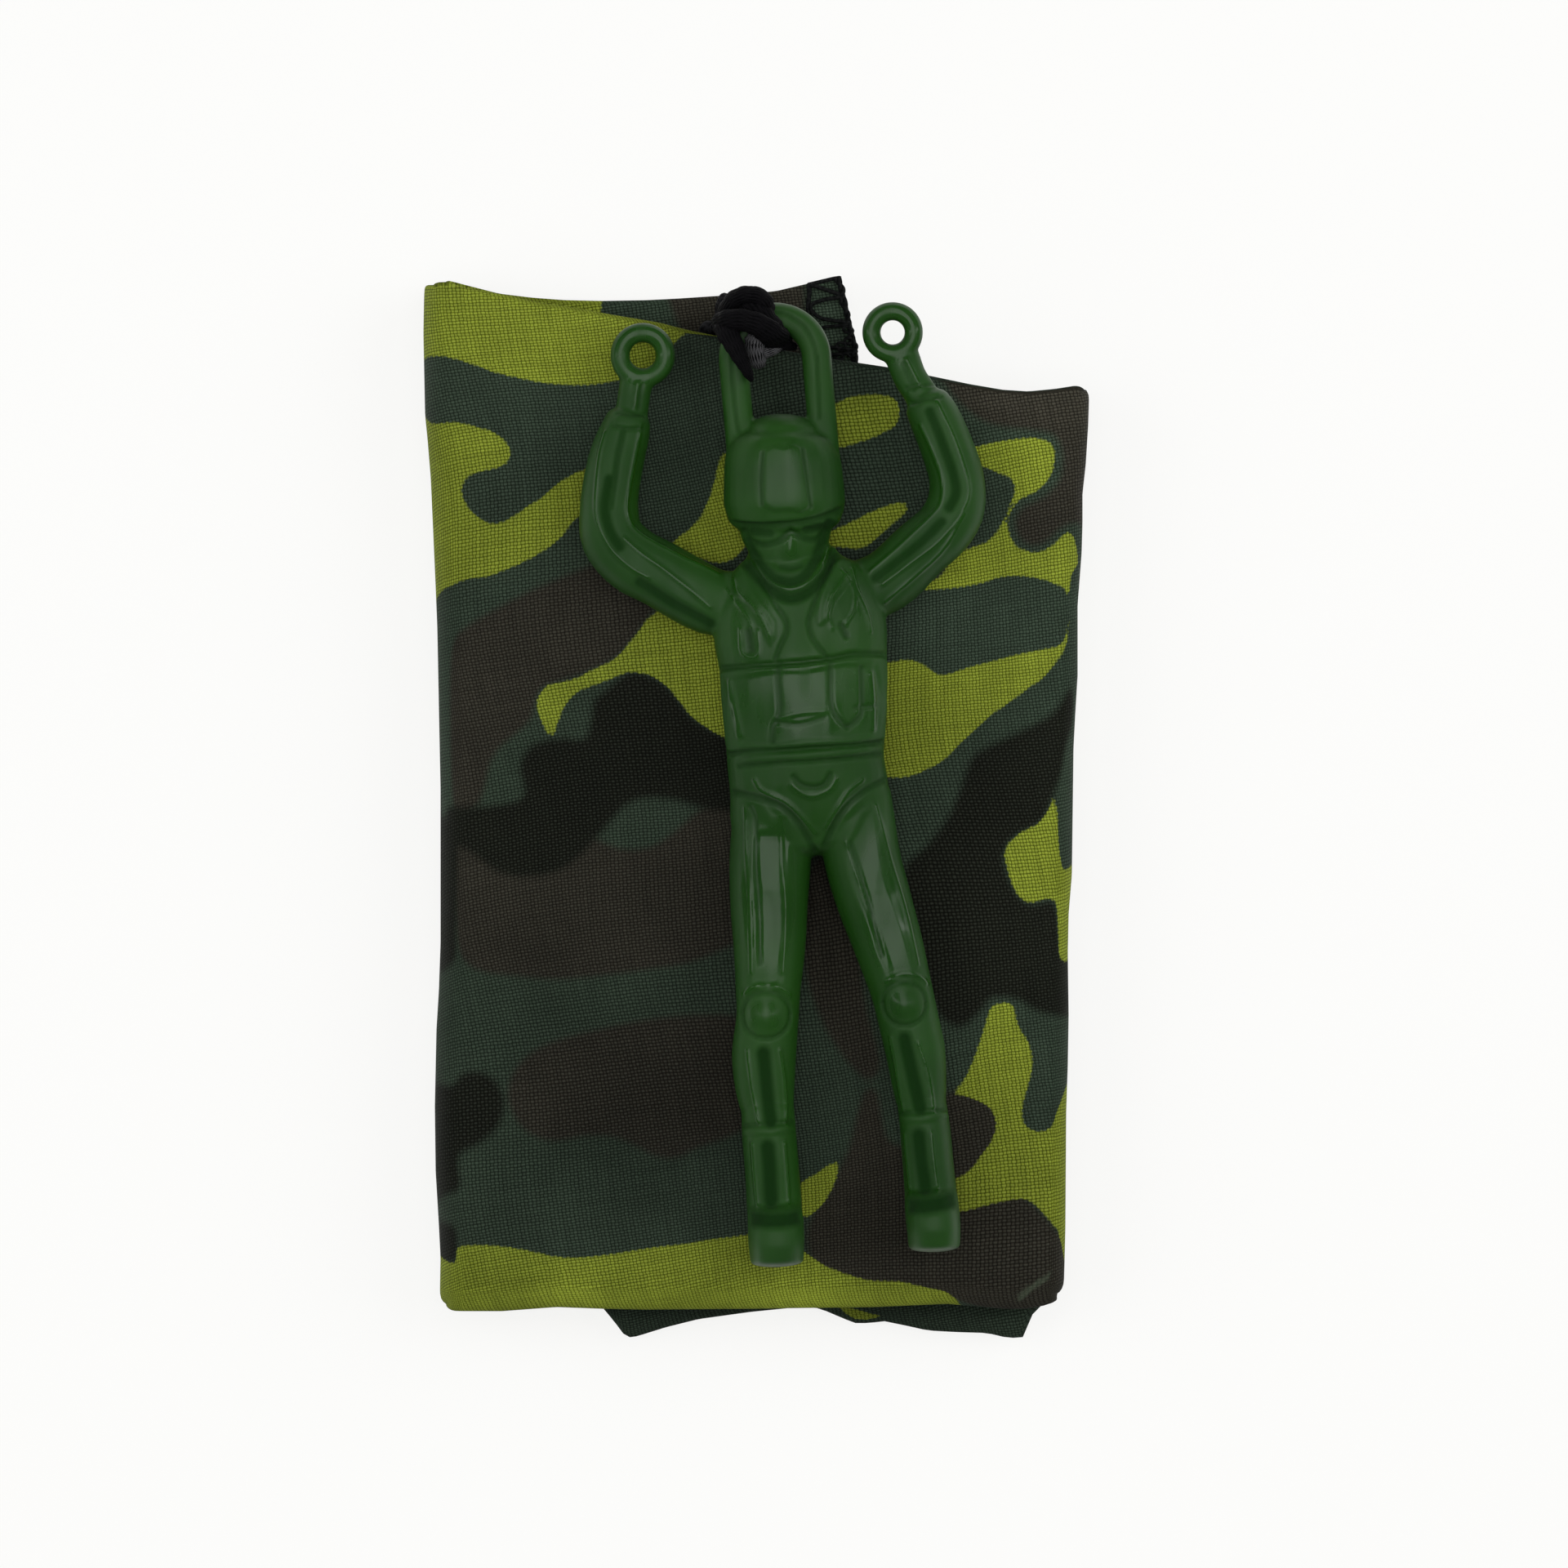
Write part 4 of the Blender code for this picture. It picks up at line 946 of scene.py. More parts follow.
# The print, traced as closed outlines. Each group has the offset of its panel on the flat cloth.
LIME_SHAPES = (
    (0.0, ((470, 290), (700, 300), (880, 350), (862, 388), (843, 404), (828, 418), (810, 440),
           (790, 456), (754, 466), (723, 471), (690, 471), (661, 468), (632, 462), (603, 455),
           (579, 446), (559, 440), (541, 436), (518, 436), (450, 434))),
    (0.0, ((450, 516), (522, 519), (557, 517), (580, 522), (603, 529), (619, 541), (625, 553),
           (622, 565), (611, 572), (590, 577), (575, 582), (567, 592), (565, 602), (571, 618),
           (584, 632), (598, 640), (609, 641), (626, 634), (643, 622), (661, 611), (678, 596),
           (699, 582), (716, 575), (742, 568), (762, 574), (755, 600), (735, 622), (710, 632),
           (699, 642), (689, 655), (678, 665), (663, 676), (645, 686), (630, 693), (615, 699),
           (596, 706), (576, 708), (557, 714), (534, 720), (450, 732))),
    (0.0, ((886, 555), (875, 590), (868, 611), (858, 633), (844, 648), (826, 662), (812, 676),
           (830, 684), (850, 682), (876, 689), (892, 687), (905, 678), (918, 660), (930, 620),
           (920, 570))),
    (0.0, ((801, 752), (791, 759), (782, 774), (768, 790), (757, 803), (742, 813), (726, 820),
           (707, 830), (686, 836), (671, 839), (663, 847), (657, 862), (661, 878), (666, 889),
           (673, 902), (678, 899), (682, 887), (687, 874), (694, 860), (707, 847), (730, 838),
           (753, 829), (768, 823), (784, 824), (799, 828), (814, 838), (826, 851), (839, 868),
           (852, 882), (866, 891), (878, 898), (905, 905), (925, 860), (920, 790), (880, 750),
           (840, 735), (815, 738))),
    (0.0, ((1022, 495), (1035, 488), (1047, 485), (1068, 483), (1083, 484), (1094, 488),
           (1100, 496), (1101, 508), (1096, 521), (1085, 528), (1068, 536), (1047, 543),
           (1028, 548), (1000, 550), (985, 522), (1000, 498))),
    (0.0, ((1005, 657), (1023, 648), (1043, 639), (1060, 630), (1081, 621), (1102, 615),
           (1111, 619), (1108, 628), (1098, 637), (1083, 651), (1060, 669), (1048, 672),
           (1032, 670), (1010, 668))),
    (0.0, ((1170, 556), (1196, 547), (1228, 540), (1264, 536), (1283, 541), (1291, 551),
           (1290, 571), (1284, 587), (1270, 601), (1251, 610), (1242, 619), (1236, 631),
           (1234, 645), (1239, 661), (1248, 671), (1267, 677), (1280, 673), (1290, 667),
           (1298, 658), (1306, 652), (1316, 656), (1323, 667), (1330, 690), (1320, 698),
           (1315, 708), (1313, 729), (1301, 719), (1285, 712), (1266, 707), (1244, 705),
           (1223, 707), (1205, 713), (1187, 717), (1166, 720), (1130, 722), (1120, 716),
           (1146, 710), (1159, 696), (1171, 680), (1191, 670), (1208, 664), (1221, 651),
           (1229, 637), (1236, 621), (1240, 610), (1243, 598), (1238, 586), (1223, 579),
           (1205, 572), (1180, 566))),
    (0.0, ((1060, 812), (1092, 811), (1105, 808), (1118, 809), (1130, 813), (1141, 821),
           (1152, 827), (1166, 824), (1187, 817), (1218, 809), (1248, 801), (1279, 795),
           (1296, 791), (1306, 781), (1312, 760), (1314, 762), (1312, 778), (1306, 793),
           (1294, 809), (1277, 830), (1258, 843), (1239, 858), (1218, 872), (1197, 891),
           (1176, 910), (1158, 929), (1137, 941), (1118, 949), (1095, 952), (1062, 944),
           (1036, 915), (1027, 870), (1040, 830))),
    (0.0, ((1291, 975), (1283, 994), (1271, 1009), (1256, 1016), (1243, 1025), (1234, 1034),
           (1230, 1046), (1233, 1061), (1237, 1076), (1243, 1090), (1250, 1099), (1260, 1105),
           (1271, 1103), (1283, 1100), (1290, 1102), (1296, 1109), (1300, 1124), (1303, 1151),
           (1310, 1175), (1350, 1165), (1350, 1065), (1312, 1066), (1304, 1056), (1299, 1042),
           (1296, 1019), (1295, 998))),
    (0.0, ((1212, 1237), (1218, 1231), (1229, 1228), (1240, 1231), (1244, 1247), (1250, 1262),
           (1259, 1276), (1264, 1296), (1263, 1312), (1257, 1335), (1252, 1354), (1252, 1370),
           (1258, 1381), (1271, 1386), (1284, 1383), (1295, 1373), (1306, 1357), (1350, 1335),
           (1350, 1540), (1305, 1506), (1292, 1500), (1279, 1488), (1268, 1475), (1255, 1468),
           (1239, 1469), (1214, 1474), (1188, 1481), (1160, 1485), (1140, 1470), (1150, 1452),
           (1174, 1442), (1188, 1432), (1201, 1416), (1214, 1397), (1220, 1378), (1214, 1359),
           (1201, 1349), (1185, 1343), (1168, 1338), (1180, 1324), (1193, 1295), (1203, 1266))),
    (0.0, ((1024, 1423), (1026, 1434), (1020, 1453), (1011, 1469), (1000, 1482), (985, 1490),
           (970, 1475), (980, 1450), (995, 1440), (1010, 1430))),
    (0.0, ((440, 1547), (541, 1547), (551, 1543), (556, 1528), (575, 1525), (600, 1525),
           (627, 1528), (654, 1533), (681, 1539), (707, 1540), (740, 1537), (772, 1532),
           (804, 1527), (841, 1523), (874, 1517), (895, 1515), (916, 1512), (950, 1511),
           (980, 1530), (1005, 1547), (1027, 1557), (1059, 1567), (1080, 1569), (1105, 1570),
           (1126, 1576), (1147, 1587), (1160, 1596), (1175, 1640), (1150, 1760), (800, 1780),
           (460, 1740))),
    (138.0, ((400, 250), (720, 250), (736, 320), (736, 368), (728, 410), (690, 440),
             (400, 470))),
    (-138.0, ((1022, 1600), (1046, 1608), (1066, 1617), (1078, 1625), (1062, 1632),
              (1038, 1624))),
)
BROWN_SHAPES = (
    (0.0, ((1160, 430), (1158, 470), (1185, 502), (1215, 520), (1260, 526), (1288, 531),
           (1300, 550), (1300, 580), (1288, 600), (1270, 613), (1252, 622), (1243, 640),
           (1250, 660), (1268, 668), (1285, 660), (1300, 646), (1325, 640), (1400, 640),
           (1400, 420))),
    (0.0, ((545, 800), (570, 768), (610, 744), (650, 723), (690, 706), (730, 690), (770, 676),
           (800, 688), (806, 730), (797, 752), (781, 774), (757, 803), (726, 820), (690, 833),
           (664, 842), (655, 860), (650, 880), (632, 898), (612, 915), (600, 935), (594, 960),
           (585, 985), (560, 1000), (545, 980), (541, 900))),
    (0.0, ((548, 1010), (600, 1000), (660, 1005), (705, 1012), (735, 1030), (765, 1040),
           (800, 1036), (830, 1015), (860, 990), (893, 984), (930, 1000), (948, 1050),
           (938, 1105), (908, 1148), (880, 1165), (840, 1180),
           (800, 1186), (750, 1193), (710, 1197), (672, 1199), (634, 1195), (596, 1191),
           (575, 1182), (558, 1160), (552, 1120))),
    (0.0, ((681, 1274), (734, 1260), (788, 1249), (828, 1244), (880, 1242), (912, 1250),
           (945, 1278), (952, 1325), (930, 1368), (895, 1391), (855, 1405), (828, 1418),
           (801, 1415), (777, 1402),
           (748, 1391), (713, 1391), (681, 1397), (654, 1391), (635, 1375), (622, 1346),
           (627, 1316), (649, 1290))),
    (0.0, ((1040, 1405), (1027, 1432), (1014, 1461), (997, 1484), (988, 1512), (993, 1540),
           (1006, 1556), (1027, 1566), (1059, 1574), (1080, 1577), (1104, 1578), (1126, 1584),
           (1148, 1594), (1165, 1612), (1240, 1660), (1340, 1640), (1350, 1560), (1330, 1520),
           (1304, 1508), (1292, 1502), (1279, 1489), (1255, 1466), (1222, 1440), (1226, 1380),
           (1214, 1350), (1180, 1335), (1150, 1345), (1110, 1400), (1085, 1390), (1075, 1340),
           (1060, 1335), (1048, 1370))),
    (0.0, ((1000, 1050), (1030, 1080), (1050, 1150), (1060, 1230), (1078, 1300), (1062, 1322),
           (1030, 1290), (1002, 1240), (985, 1180), (985, 1100))),
    (138.0, ((800, 250), (980, 250), (985, 330), (982, 420), (960, 500), (880, 500),
             (835, 410), (815, 350))),
)
BLACK_SHAPES = (
    (0.0, ((745, 842), (768, 824), (784, 824), (799, 829), (814, 838), (826, 851), (839, 868),
           (852, 882), (866, 891), (885, 900), (922, 922), (940, 955), (915, 988), (870, 992),
           (830, 980),
           (790, 977), (765, 987), (745, 1010), (720, 1038), (690, 1064), (650, 1074),
           (610, 1068), (570, 1040), (535, 1030), (530, 990), (575, 988), (620, 984),
           (642, 972), (637, 945), (641, 925), (657, 910), (690, 904), (716, 904), (724, 878),
           (728, 857))),
    (0.0, ((1320, 842), (1287, 874), (1262, 889), (1233, 903), (1202, 918), (1187, 933),
           (1176, 966), (1166, 989), (1156, 1008), (1130, 1040), (1108, 1062), (1108, 1110),
           (1128, 1180), (1148, 1240), (1176, 1258), (1203, 1236), (1215, 1222), (1245, 1224),
           (1270, 1238), (1300, 1244), (1350, 1240), (1350, 1175), (1309, 1170), (1299, 1125),
           (1288, 1103), (1262, 1107), (1244, 1092), (1230, 1060), (1231, 1040), (1243, 1024),
           (1272, 1009), (1283, 994), (1292, 970), (1303, 945), (1312, 915), (1330, 880))),
    (0.0, ((470, 1335), (547, 1330), (563, 1316), (584, 1312), (603, 1320), (614, 1335),
           (618, 1354), (611, 1378), (595, 1394), (579, 1405), (563, 1413), (560, 1429),
           (564, 1448), (557, 1458), (547, 1461), (470, 1465))),
    (0.0, ((470, 1500), (546, 1500), (555, 1528), (552, 1542), (541, 1546), (470, 1546))),
    (0.0, ((470, 1010), (549, 1010), (555, 1060), (552, 1140), (546, 1180), (470, 1180))),
)
# Painted light and shade, lighter or darker round a place: panel offset, place, reach, share
PAINTED_LIGHT_SPOTS = ((0.0, 1280, 495, 75, 1.8), (0.0, 1230, 750, 95, 1.3), (0.0, 750, 1330, 120, 0.60),
         (0.0, 1100, 1545, 70, 0.72), (0.0, 700, 1600, 40, 1.25), (0.0, 1000, 1600, 40, 1.2),
         (0.0, 1240, 1430, 60, 0.80), (0.0, 640, 1230, 60, 0.86), (0.0, 1220, 1120, 70, 1.15),
         (0.0, 900, 420, 50, 1.1), (138.0, 850, 350, 90, 1.38), (138.0, 1012, 385, 26, 1.4),
         (138.0, 950, 1640, 150, 0.70), (-138.0, 1150, 1640, 90, 0.65))
# Boxes of the flat cloth where the traced outlines hold: left, right, bottom, top
TRACED_BOXES = ((-34.0, 35.0, -52.0, 52.0), (105.0, 149.0, 41.0, 54.0),
                (118.0, 149.0, -56.0, -47.0), (-138.0, -107.0, -56.0, -47.0))


# The print: how deep a place can count as inside a colour, how near the traced boxes the
# outlines are looked up, and over what distance they give way to the loose pattern
PRINT_DEPTH = 6.0
TRACED_REACH = 9.0
LOOSE_EDGE = (1.5, 8.5)
OUTLINE_REACH = 3.0
# The loose pattern of lime, brown and black: seed, length and level
LOOSE_PRINTS = ((LIME_SHAPES, 21, 44.0, 0.80), (BROWN_SHAPES, 32, 58.0, 0.30),
                (BLACK_SHAPES, 45, 46.0, 0.75))


def printed(flat):
    """Depth inside each colour of the print, in millimetres, at places of the flat cloth."""
    apart = np.full(len(flat), 1e9)
    for left, right, bottom, top in TRACED_BOXES:
        dx = np.maximum(np.maximum(left - flat[:, 0], flat[:, 0] - right), 0)
        dy = np.maximum(np.maximum(bottom - flat[:, 1], flat[:, 1] - top), 0)
        apart = np.minimum(apart, np.hypot(dx, dy))
    near = apart < TRACED_REACH
    free = ramp(*LOOSE_EDGE, apart)
    fields = []
    for shapes, seed, length, level in LOOSE_PRINTS:
        loose = (waves(flat, seed, length) - level) * length / 6.3
        drawn = np.full(len(flat), -PRINT_DEPTH)
        for offset, points in shapes:
            outline = curve_through(traced(points) + (offset, 0.0), 3, True)
            at = near & near_line(flat, outline, OUTLINE_REACH)
            if at.any():
                drawn[at] = np.maximum(drawn[at], depth_inside(flat[at], outline))
        fields.append(np.clip(drawn, -PRINT_DEPTH, PRINT_DEPTH) * (1 - free)
                      + np.clip(loose, -PRINT_DEPTH, PRINT_DEPTH) * free)
    return fields


# Painted light and shade: the cloth made lighter or darker round the listed places
def light_and_shade_at(flat):
    total = np.zeros(len(flat))
    for offset, x, y, reach, share in PAINTED_LIGHT_SPOTS:
        middle = traced([(x, y)])[0] + (offset, 0.0)
        apart = ((flat - middle) ** 2).sum(axis=1) / (2 * (reach * PIXEL) ** 2)
        total += math.log(share) * np.exp(-apart)
    return np.exp(total)


# The threads lean on the cloth and wander a little; a crease on top gets a painted highlight
THREAD_LEAN = math.radians(8.0)
THREAD_WANDER = 0.55
CREASE = ((1248, 1590), (1262, 1578), (1284, 1563))
CREASE_EDGE = (0.05, 0.45)
COVER_MIDDLE = 6.0


def make_canopy():
    """The whole cloth as one sheet, which bends at the spine."""
    space, flat = sheet_places()
    lines, rows = space.shape[:2]
    points = space.reshape(-1, 3)
    cloth = flat.reshape(-1, 2)
    index = np.arange(lines * rows).reshape(lines, rows)
    faces = np.stack((index[:-1, :-1], index[1:, :-1], index[1:, 1:], index[:-1, 1:]),
                     axis=-1).reshape(-1, 4)
    lime, brown, black = printed(cloth)
    c, s = math.cos(THREAD_LEAN), math.sin(THREAD_LEAN)
    wander = np.column_stack((waves(cloth, 71, 30.0), waves(cloth, 72, 34.0)))
    woven = cloth @ np.array(((c, -s), (s, c))) + THREAD_WANDER * wander
    # The crease gets a painted highlight, on the top cover only
    crease = traced(curve_through(CREASE, 4))
    crease_highlight = 1 - ramp(*CREASE_EDGE, gap_to_line(points[:, :2], crease))
    painted_highlight = np.where(points[:, 2] > COVER_MIDDLE, crease_highlight, 0.0)
    sheet = mesh_object("canopy_sheet", points, faces, CLOTH, woven[faces.reshape(-1)],
                        {"lime": lime, "brown": brown, "black": black, "painted_highlight": painted_highlight,
                         "painted_light_and_shade": light_and_shade_at(cloth)})
    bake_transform(sheet)
    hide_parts("canopy_back", "canopy_front")
    return sheet


CANOPY = make_canopy()

# The overlocked edge

HEM_LEVEL = 3.95
HEM_PITCH = 2.75
HEM_TOP = 52.0
HEM_BOTTOM = -48.6
NEEDLE_PLACE = 5.2
NEEDLE_STITCH = 0.8
NEEDLE_COUNT = 125
CHAIN_STEP = 0.3
CHAIN_PITCH = 1.9
# Where the hem comes out from under the front cover, and how far it lifts there and below
HEM_COMES_OUT = 44.8
HEM_LIFT = 0.30
HEM_DIP = -0.04
# Round loops of thread near the place where the hem goes under the cover: place and reach
BUBBLES = ((1030, 423, 0.46), (1039, 416, 0.36), (1043, 431, 0.42), (1028, 436, 0.36),
           (1037, 402, 0.34))


def hem_lift(y):
    return HEM_LIFT if y > HEM_COMES_OUT else HEM_DIP


def make_hem():
    """Black overlock thread: a needle line, zigzag loops and a chain round the cut edge."""
    parts = []
    rng = np.random.default_rng(8)

    zigzag = []
    y = HEM_TOP - 0.2
    while y > HEM_BOTTOM:
        lift = HEM_LEVEL + hem_lift(y)
        edge = float(hem_edge(y - HEM_PITCH / 4))
        wobble = rng.uniform(-0.2, 0.2, 4)
        zigzag += [(NEEDLE_PLACE + 0.3, y + wobble[0], lift - 0.1),
                   (NEEDLE_PLACE + 1.3, y - 0.60 + wobble[1], lift),
                   (edge - 0.6, y - 0.95, lift), (edge - 0.1, y - 1.15, lift - 0.15),
                   (edge - 0.7, y - 1.30, lift), (NEEDLE_PLACE + 1.2, y - 1.55 + wobble[2], lift),
                   (NEEDLE_PLACE + 0.3, y - 2.15 + wobble[3], lift - 0.1)]
        y -= HEM_PITCH
    parts.append(tube(curve_through(zigzag, 4), 0.21, 0.17, 8))

    for phase, reach in ((0.0, 0.13), (math.pi, 0.26)):
        chain = []
        for y in np.arange(HEM_TOP + CHAIN_STEP, HEM_BOTTOM, -CHAIN_STEP):
            turn = phase + (HEM_TOP - y) * FULL_TURN / CHAIN_PITCH + math.sin(y)
            edge = float(hem_edge(y))
            chain.append((edge - 0.20 - reach / 2 + reach * math.cos(turn), y,
                          HEM_LEVEL + hem_lift(y) * 0.5 + 0.2 * math.sin(turn)))
        parts.append(tube(curve_through(chain, 2), 0.21, 0.17, 7))
    for x, y, reach in BUBBLES:
        place = traced([(x, y)])[0]
        ring = [(place[0] + reach * math.cos(t), place[1] + reach * 0.85 * math.sin(t),
                 HEM_LEVEL + HEM_LIFT + 0.08 * math.cos(2 * t + x)) for t in around(18)]
        parts.append(tube(ring, 0.15, 0.14, 7, closed=True))

    needle = [(NEEDLE_PLACE + 0.05 * math.sin(1.7 * k), HEM_TOP - 0.2 - k * NEEDLE_STITCH,
               HEM_LEVEL + hem_lift(HEM_TOP - k * NEEDLE_STITCH) * 0.3)
              for k in range(NEEDLE_COUNT)]
    parts.append(tube(curve_through(needle, 2), 0.24, 0.12, 8))
    lip = [(x, float(ledge_top(x)) - 0.14, HEM_LEVEL - 0.05)
           for x in np.linspace(NEEDLE_PLACE, float(hem_edge(HEM_TOP)) - 0.3, 6)]
    parts.append(tube(curve_through(lip, 4), 0.20, 0.18, 8))
    points, faces, uv = merged(parts)
    hem = mesh_object("canopy_hem_thread", points, faces, THREAD, uv)
    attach(hem, "back_cover")
    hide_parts("canopy_hem")
    return hem


HEM = make_hem()

# The jumper: stations are shares of its height from the middle of the loop's arch, as
# sideways, lengthways, half width, height of the middle and half depth.

HELMET = ((0.002, -0.076, 0.038, 0.052, 0.037), (0.001, -0.085, 0.0515, 0.052, 0.045),
          (-0.001, -0.102, 0.0595, 0.052, 0.0500), (-0.002, -0.128, 0.0622, 0.052, 0.0515),
          (-0.003, -0.150, 0.0630, 0.052, 0.0515), (-0.004, -0.163, 0.0600, 0.052, 0.048))
FACE = ((-0.004, -0.155, 0.0500, 0.047, 0.042), (-0.004, -0.175, 0.0480, 0.046, 0.041),
        (-0.004, -0.191, 0.0440, 0.046, 0.040), (-0.005, -0.212, 0.0330, 0.046, 0.037),
        (-0.006, -0.230, 0.0190, 0.050, 0.030))
TORSO = ((0.000, -0.205, 0.048, 0.046, 0.030), (0.000, -0.220, 0.066, 0.048, 0.040),
         (0.002, -0.247, 0.083, 0.050, 0.047), (0.002, -0.281, 0.0900, 0.051, 0.050),
         (0.002, -0.320, 0.0872, 0.051, 0.050), (0.000, -0.358, 0.0857, 0.051, 0.050),
         (-0.003, -0.402, 0.0823, 0.050, 0.048), (-0.004, -0.421, 0.0815, 0.049, 0.047),
         (-0.003, -0.447, 0.0823, 0.047, 0.045), (-0.003, -0.477, 0.0840, 0.044, 0.041),
         (-0.001, -0.500, 0.0780, 0.041, 0.036))
LEFT_ARM = ((-0.050, -0.250, 0.0323, 0.040, 0.031), (-0.088, -0.245, 0.0350, 0.040, 0.032),
            (-0.137, -0.213, 0.0348, 0.040, 0.031), (-0.165, -0.195, 0.0348, 0.040, 0.031),
            (-0.184, -0.170, 0.0331, 0.040, 0.031), (-0.185, -0.142, 0.0306, 0.040, 0.030),
            (-0.181, -0.118, 0.0297, 0.040, 0.029), (-0.172, -0.087, 0.0289, 0.040, 0.028),
            (-0.162, -0.063, 0.0263, 0.040, 0.026), (-0.157, -0.050, 0.0235, 0.040, 0.023))
LEFT_WRIST = ((-0.157, -0.058, 0.0170, 0.039, 0.0150), (-0.152, -0.038, 0.0170, 0.039, 0.0150),
              (-0.147, -0.017, 0.0170, 0.039, 0.0140), (-0.143, -0.007, 0.0185, 0.039, 0.0130))
RIGHT_ARM = ((0.050, -0.252, 0.0323, 0.040, 0.031), (0.095, -0.240, 0.0330, 0.040, 0.031),
             (0.132, -0.211, 0.0318, 0.040, 0.030), (0.159, -0.191, 0.0312, 0.040, 0.030),
             (0.174, -0.168, 0.0306, 0.040, 0.030), (0.177, -0.137, 0.0285, 0.040, 0.029),
             (0.168, -0.100, 0.0275, 0.040, 0.028), (0.159, -0.073, 0.0263, 0.040, 0.026),
             (0.153, -0.060, 0.0240, 0.040, 0.023))
RIGHT_WRIST = ((0.154, -0.068, 0.0180, 0.039, 0.0150), (0.147, -0.048, 0.0175, 0.039, 0.0150),
               (0.138, -0.031, 0.0175, 0.039, 0.0140), (0.132, -0.010, 0.0180, 0.039, 0.0130))
LEFT_LEG = ((-0.041, -0.455, 0.0407, 0.042, 0.037), (-0.049, -0.515, 0.0424, 0.041, 0.038),
            (-0.054, -0.558, 0.0407, 0.040, 0.036), (-0.058, -0.609, 0.0374, 0.039, 0.034),
            (-0.063, -0.651, 0.0338, 0.038, 0.033), (-0.066, -0.680, 0.0325, 0.038, 0.033),
            (-0.073, -0.718, 0.0335, 0.037, 0.031), (-0.075, -0.752, 0.0310, 0.036, 0.030),
            (-0.074, -0.780, 0.0268, 0.036, 0.028))
LEFT_BOOT = ((-0.074, -0.776, 0.0275, 0.037, 0.030), (-0.075, -0.805, 0.0283, 0.037, 0.031),
             (-0.075, -0.845, 0.0283, 0.037, 0.031), (-0.076, -0.880, 0.0288, 0.036, 0.030))
LEFT_FOOT = ((-0.076, -0.872, 0.0270, 0.034, 0.026), (-0.076, -0.883, 0.0285, 0.046, 0.036),
             (-0.076, -0.896, 0.0292, 0.051, 0.0395), (-0.077, -0.915, 0.0290, 0.052, 0.040),
             (-0.078, -0.9335, 0.0275, 0.050, 0.038))
RIGHT_LEG = ((0.041, -0.460, 0.0407, 0.042, 0.037), (0.046, -0.524, 0.0399, 0.041, 0.038),
             (0.054, -0.567, 0.0390, 0.040, 0.036), (0.066, -0.619, 0.0357, 0.039, 0.034),
             (0.075, -0.665, 0.0322, 0.038, 0.033), (0.081, -0.707, 0.0314, 0.038, 0.032),
             (0.084, -0.731, 0.0310, 0.037, 0.031), (0.085, -0.766, 0.0280, 0.036, 0.029),
             (0.086, -0.789, 0.0245, 0.036, 0.027))
RIGHT_BOOT = ((0.086, -0.785, 0.0255, 0.037, 0.029), (0.087, -0.810, 0.0262, 0.037, 0.030),
              (0.087, -0.845, 0.0265, 0.037, 0.030), (0.087, -0.880, 0.0272, 0.036, 0.029))
RIGHT_FOOT = ((0.087, -0.870, 0.0260, 0.034, 0.026), (0.087, -0.881, 0.0275, 0.046, 0.036),
              (0.087, -0.894, 0.0282, 0.051, 0.0395), (0.087, -0.912, 0.0280, 0.052, 0.040),
              (0.086, -0.9320, 0.0267, 0.050, 0.038))
LEFT_RING = (-0.1365, 0.0155)
RIGHT_RING = (0.1240, 0.0170)
LOOP_RADIUS = 4.1
LOOP_LEG = 10.0
LOOP_LEVEL = 4.6
VOXEL = 0.20
CARVE_SHARE = 0.6


def on_table(points):
    """The jumper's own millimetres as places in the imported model."""
    p = np.asarray(points, float)
    c, s = math.cos(FIGURE_TILT), math.sin(FIGURE_TILT)
    return np.column_stack((ARCH_PLACE[0] + p[:, 0] * c - p[:, 1] * s,
                            ARCH_PLACE[1] + p[:, 0] * s + p[:, 1] * c,
                            FIGURE_LEVEL + p[:, 2]))


def section(sides, roundness):
    turns = 2 * math.pi * (np.arange(sides) + 0.5) / sides
    c, s = np.cos(turns), np.sin(turns)
    reach = (np.abs(c) ** roundness + np.abs(s) ** roundness) ** (-1 / roundness)
    return np.column_stack((c * reach, s * reach))


def loft(stations, roundness=2.25, sides=32, bulge=0.5):
    """A closed body along stations, with round ends that bulge by a share of their size."""
    rows = curve_through(np.array(stations) * FIGURE_HEIGHT, 4)
    unit_section = section(sides, roundness)
    middle = rows[:, [0, 1, 3]]
    ahead = np.gradient(middle, axis=0)
    ahead[:, 2] = 0
    ahead /= np.linalg.norm(ahead, axis=1)[:, None]
    rings = []
    for k, row in enumerate(rows):
        across = np.array((ahead[k][1], -ahead[k][0], 0.0))
        steps = range(1)
        if k == 0:
            steps = range(-5, 1)
        elif k == len(rows) - 1:
            steps = range(0, 6)
        for step in steps:
            lean = abs(step) / 5.35 * math.pi / 2
            push = math.copysign(math.sin(lean), step) * min(row[2], row[4]) * bulge
            centre = middle[k] + ahead[k] * push
            rings.append(centre + np.outer(unit_section[:, 0] * row[2] * math.cos(lean), across)
                         + np.outer(unit_section[:, 1] * row[4] * math.cos(lean), (0, 0, 1)))
    return rings


def bar(route, half_width, half_depth, level, closed, roundness=3.0, sides=24):
    """A bar of constant section along flat points, at one level."""
    p = np.array(route, float)
    if closed:
        ahead = np.roll(p, -1, axis=0) - np.roll(p, 1, axis=0)
    else:
        ahead = np.gradient(p, axis=0)
    ahead /= np.linalg.norm(ahead, axis=1)[:, None]
    shape = section(sides, roundness)
    rings = []
    for point, way in zip(p, ahead):
        across = np.array((way[1], -way[0], 0.0))
        rings.append(np.array((point[0], point[1], level))
                     + np.outer(shape[:, 0] * half_width, across)
                     + np.outer(shape[:, 1] * half_depth, (0, 0, 1)))
    return rings


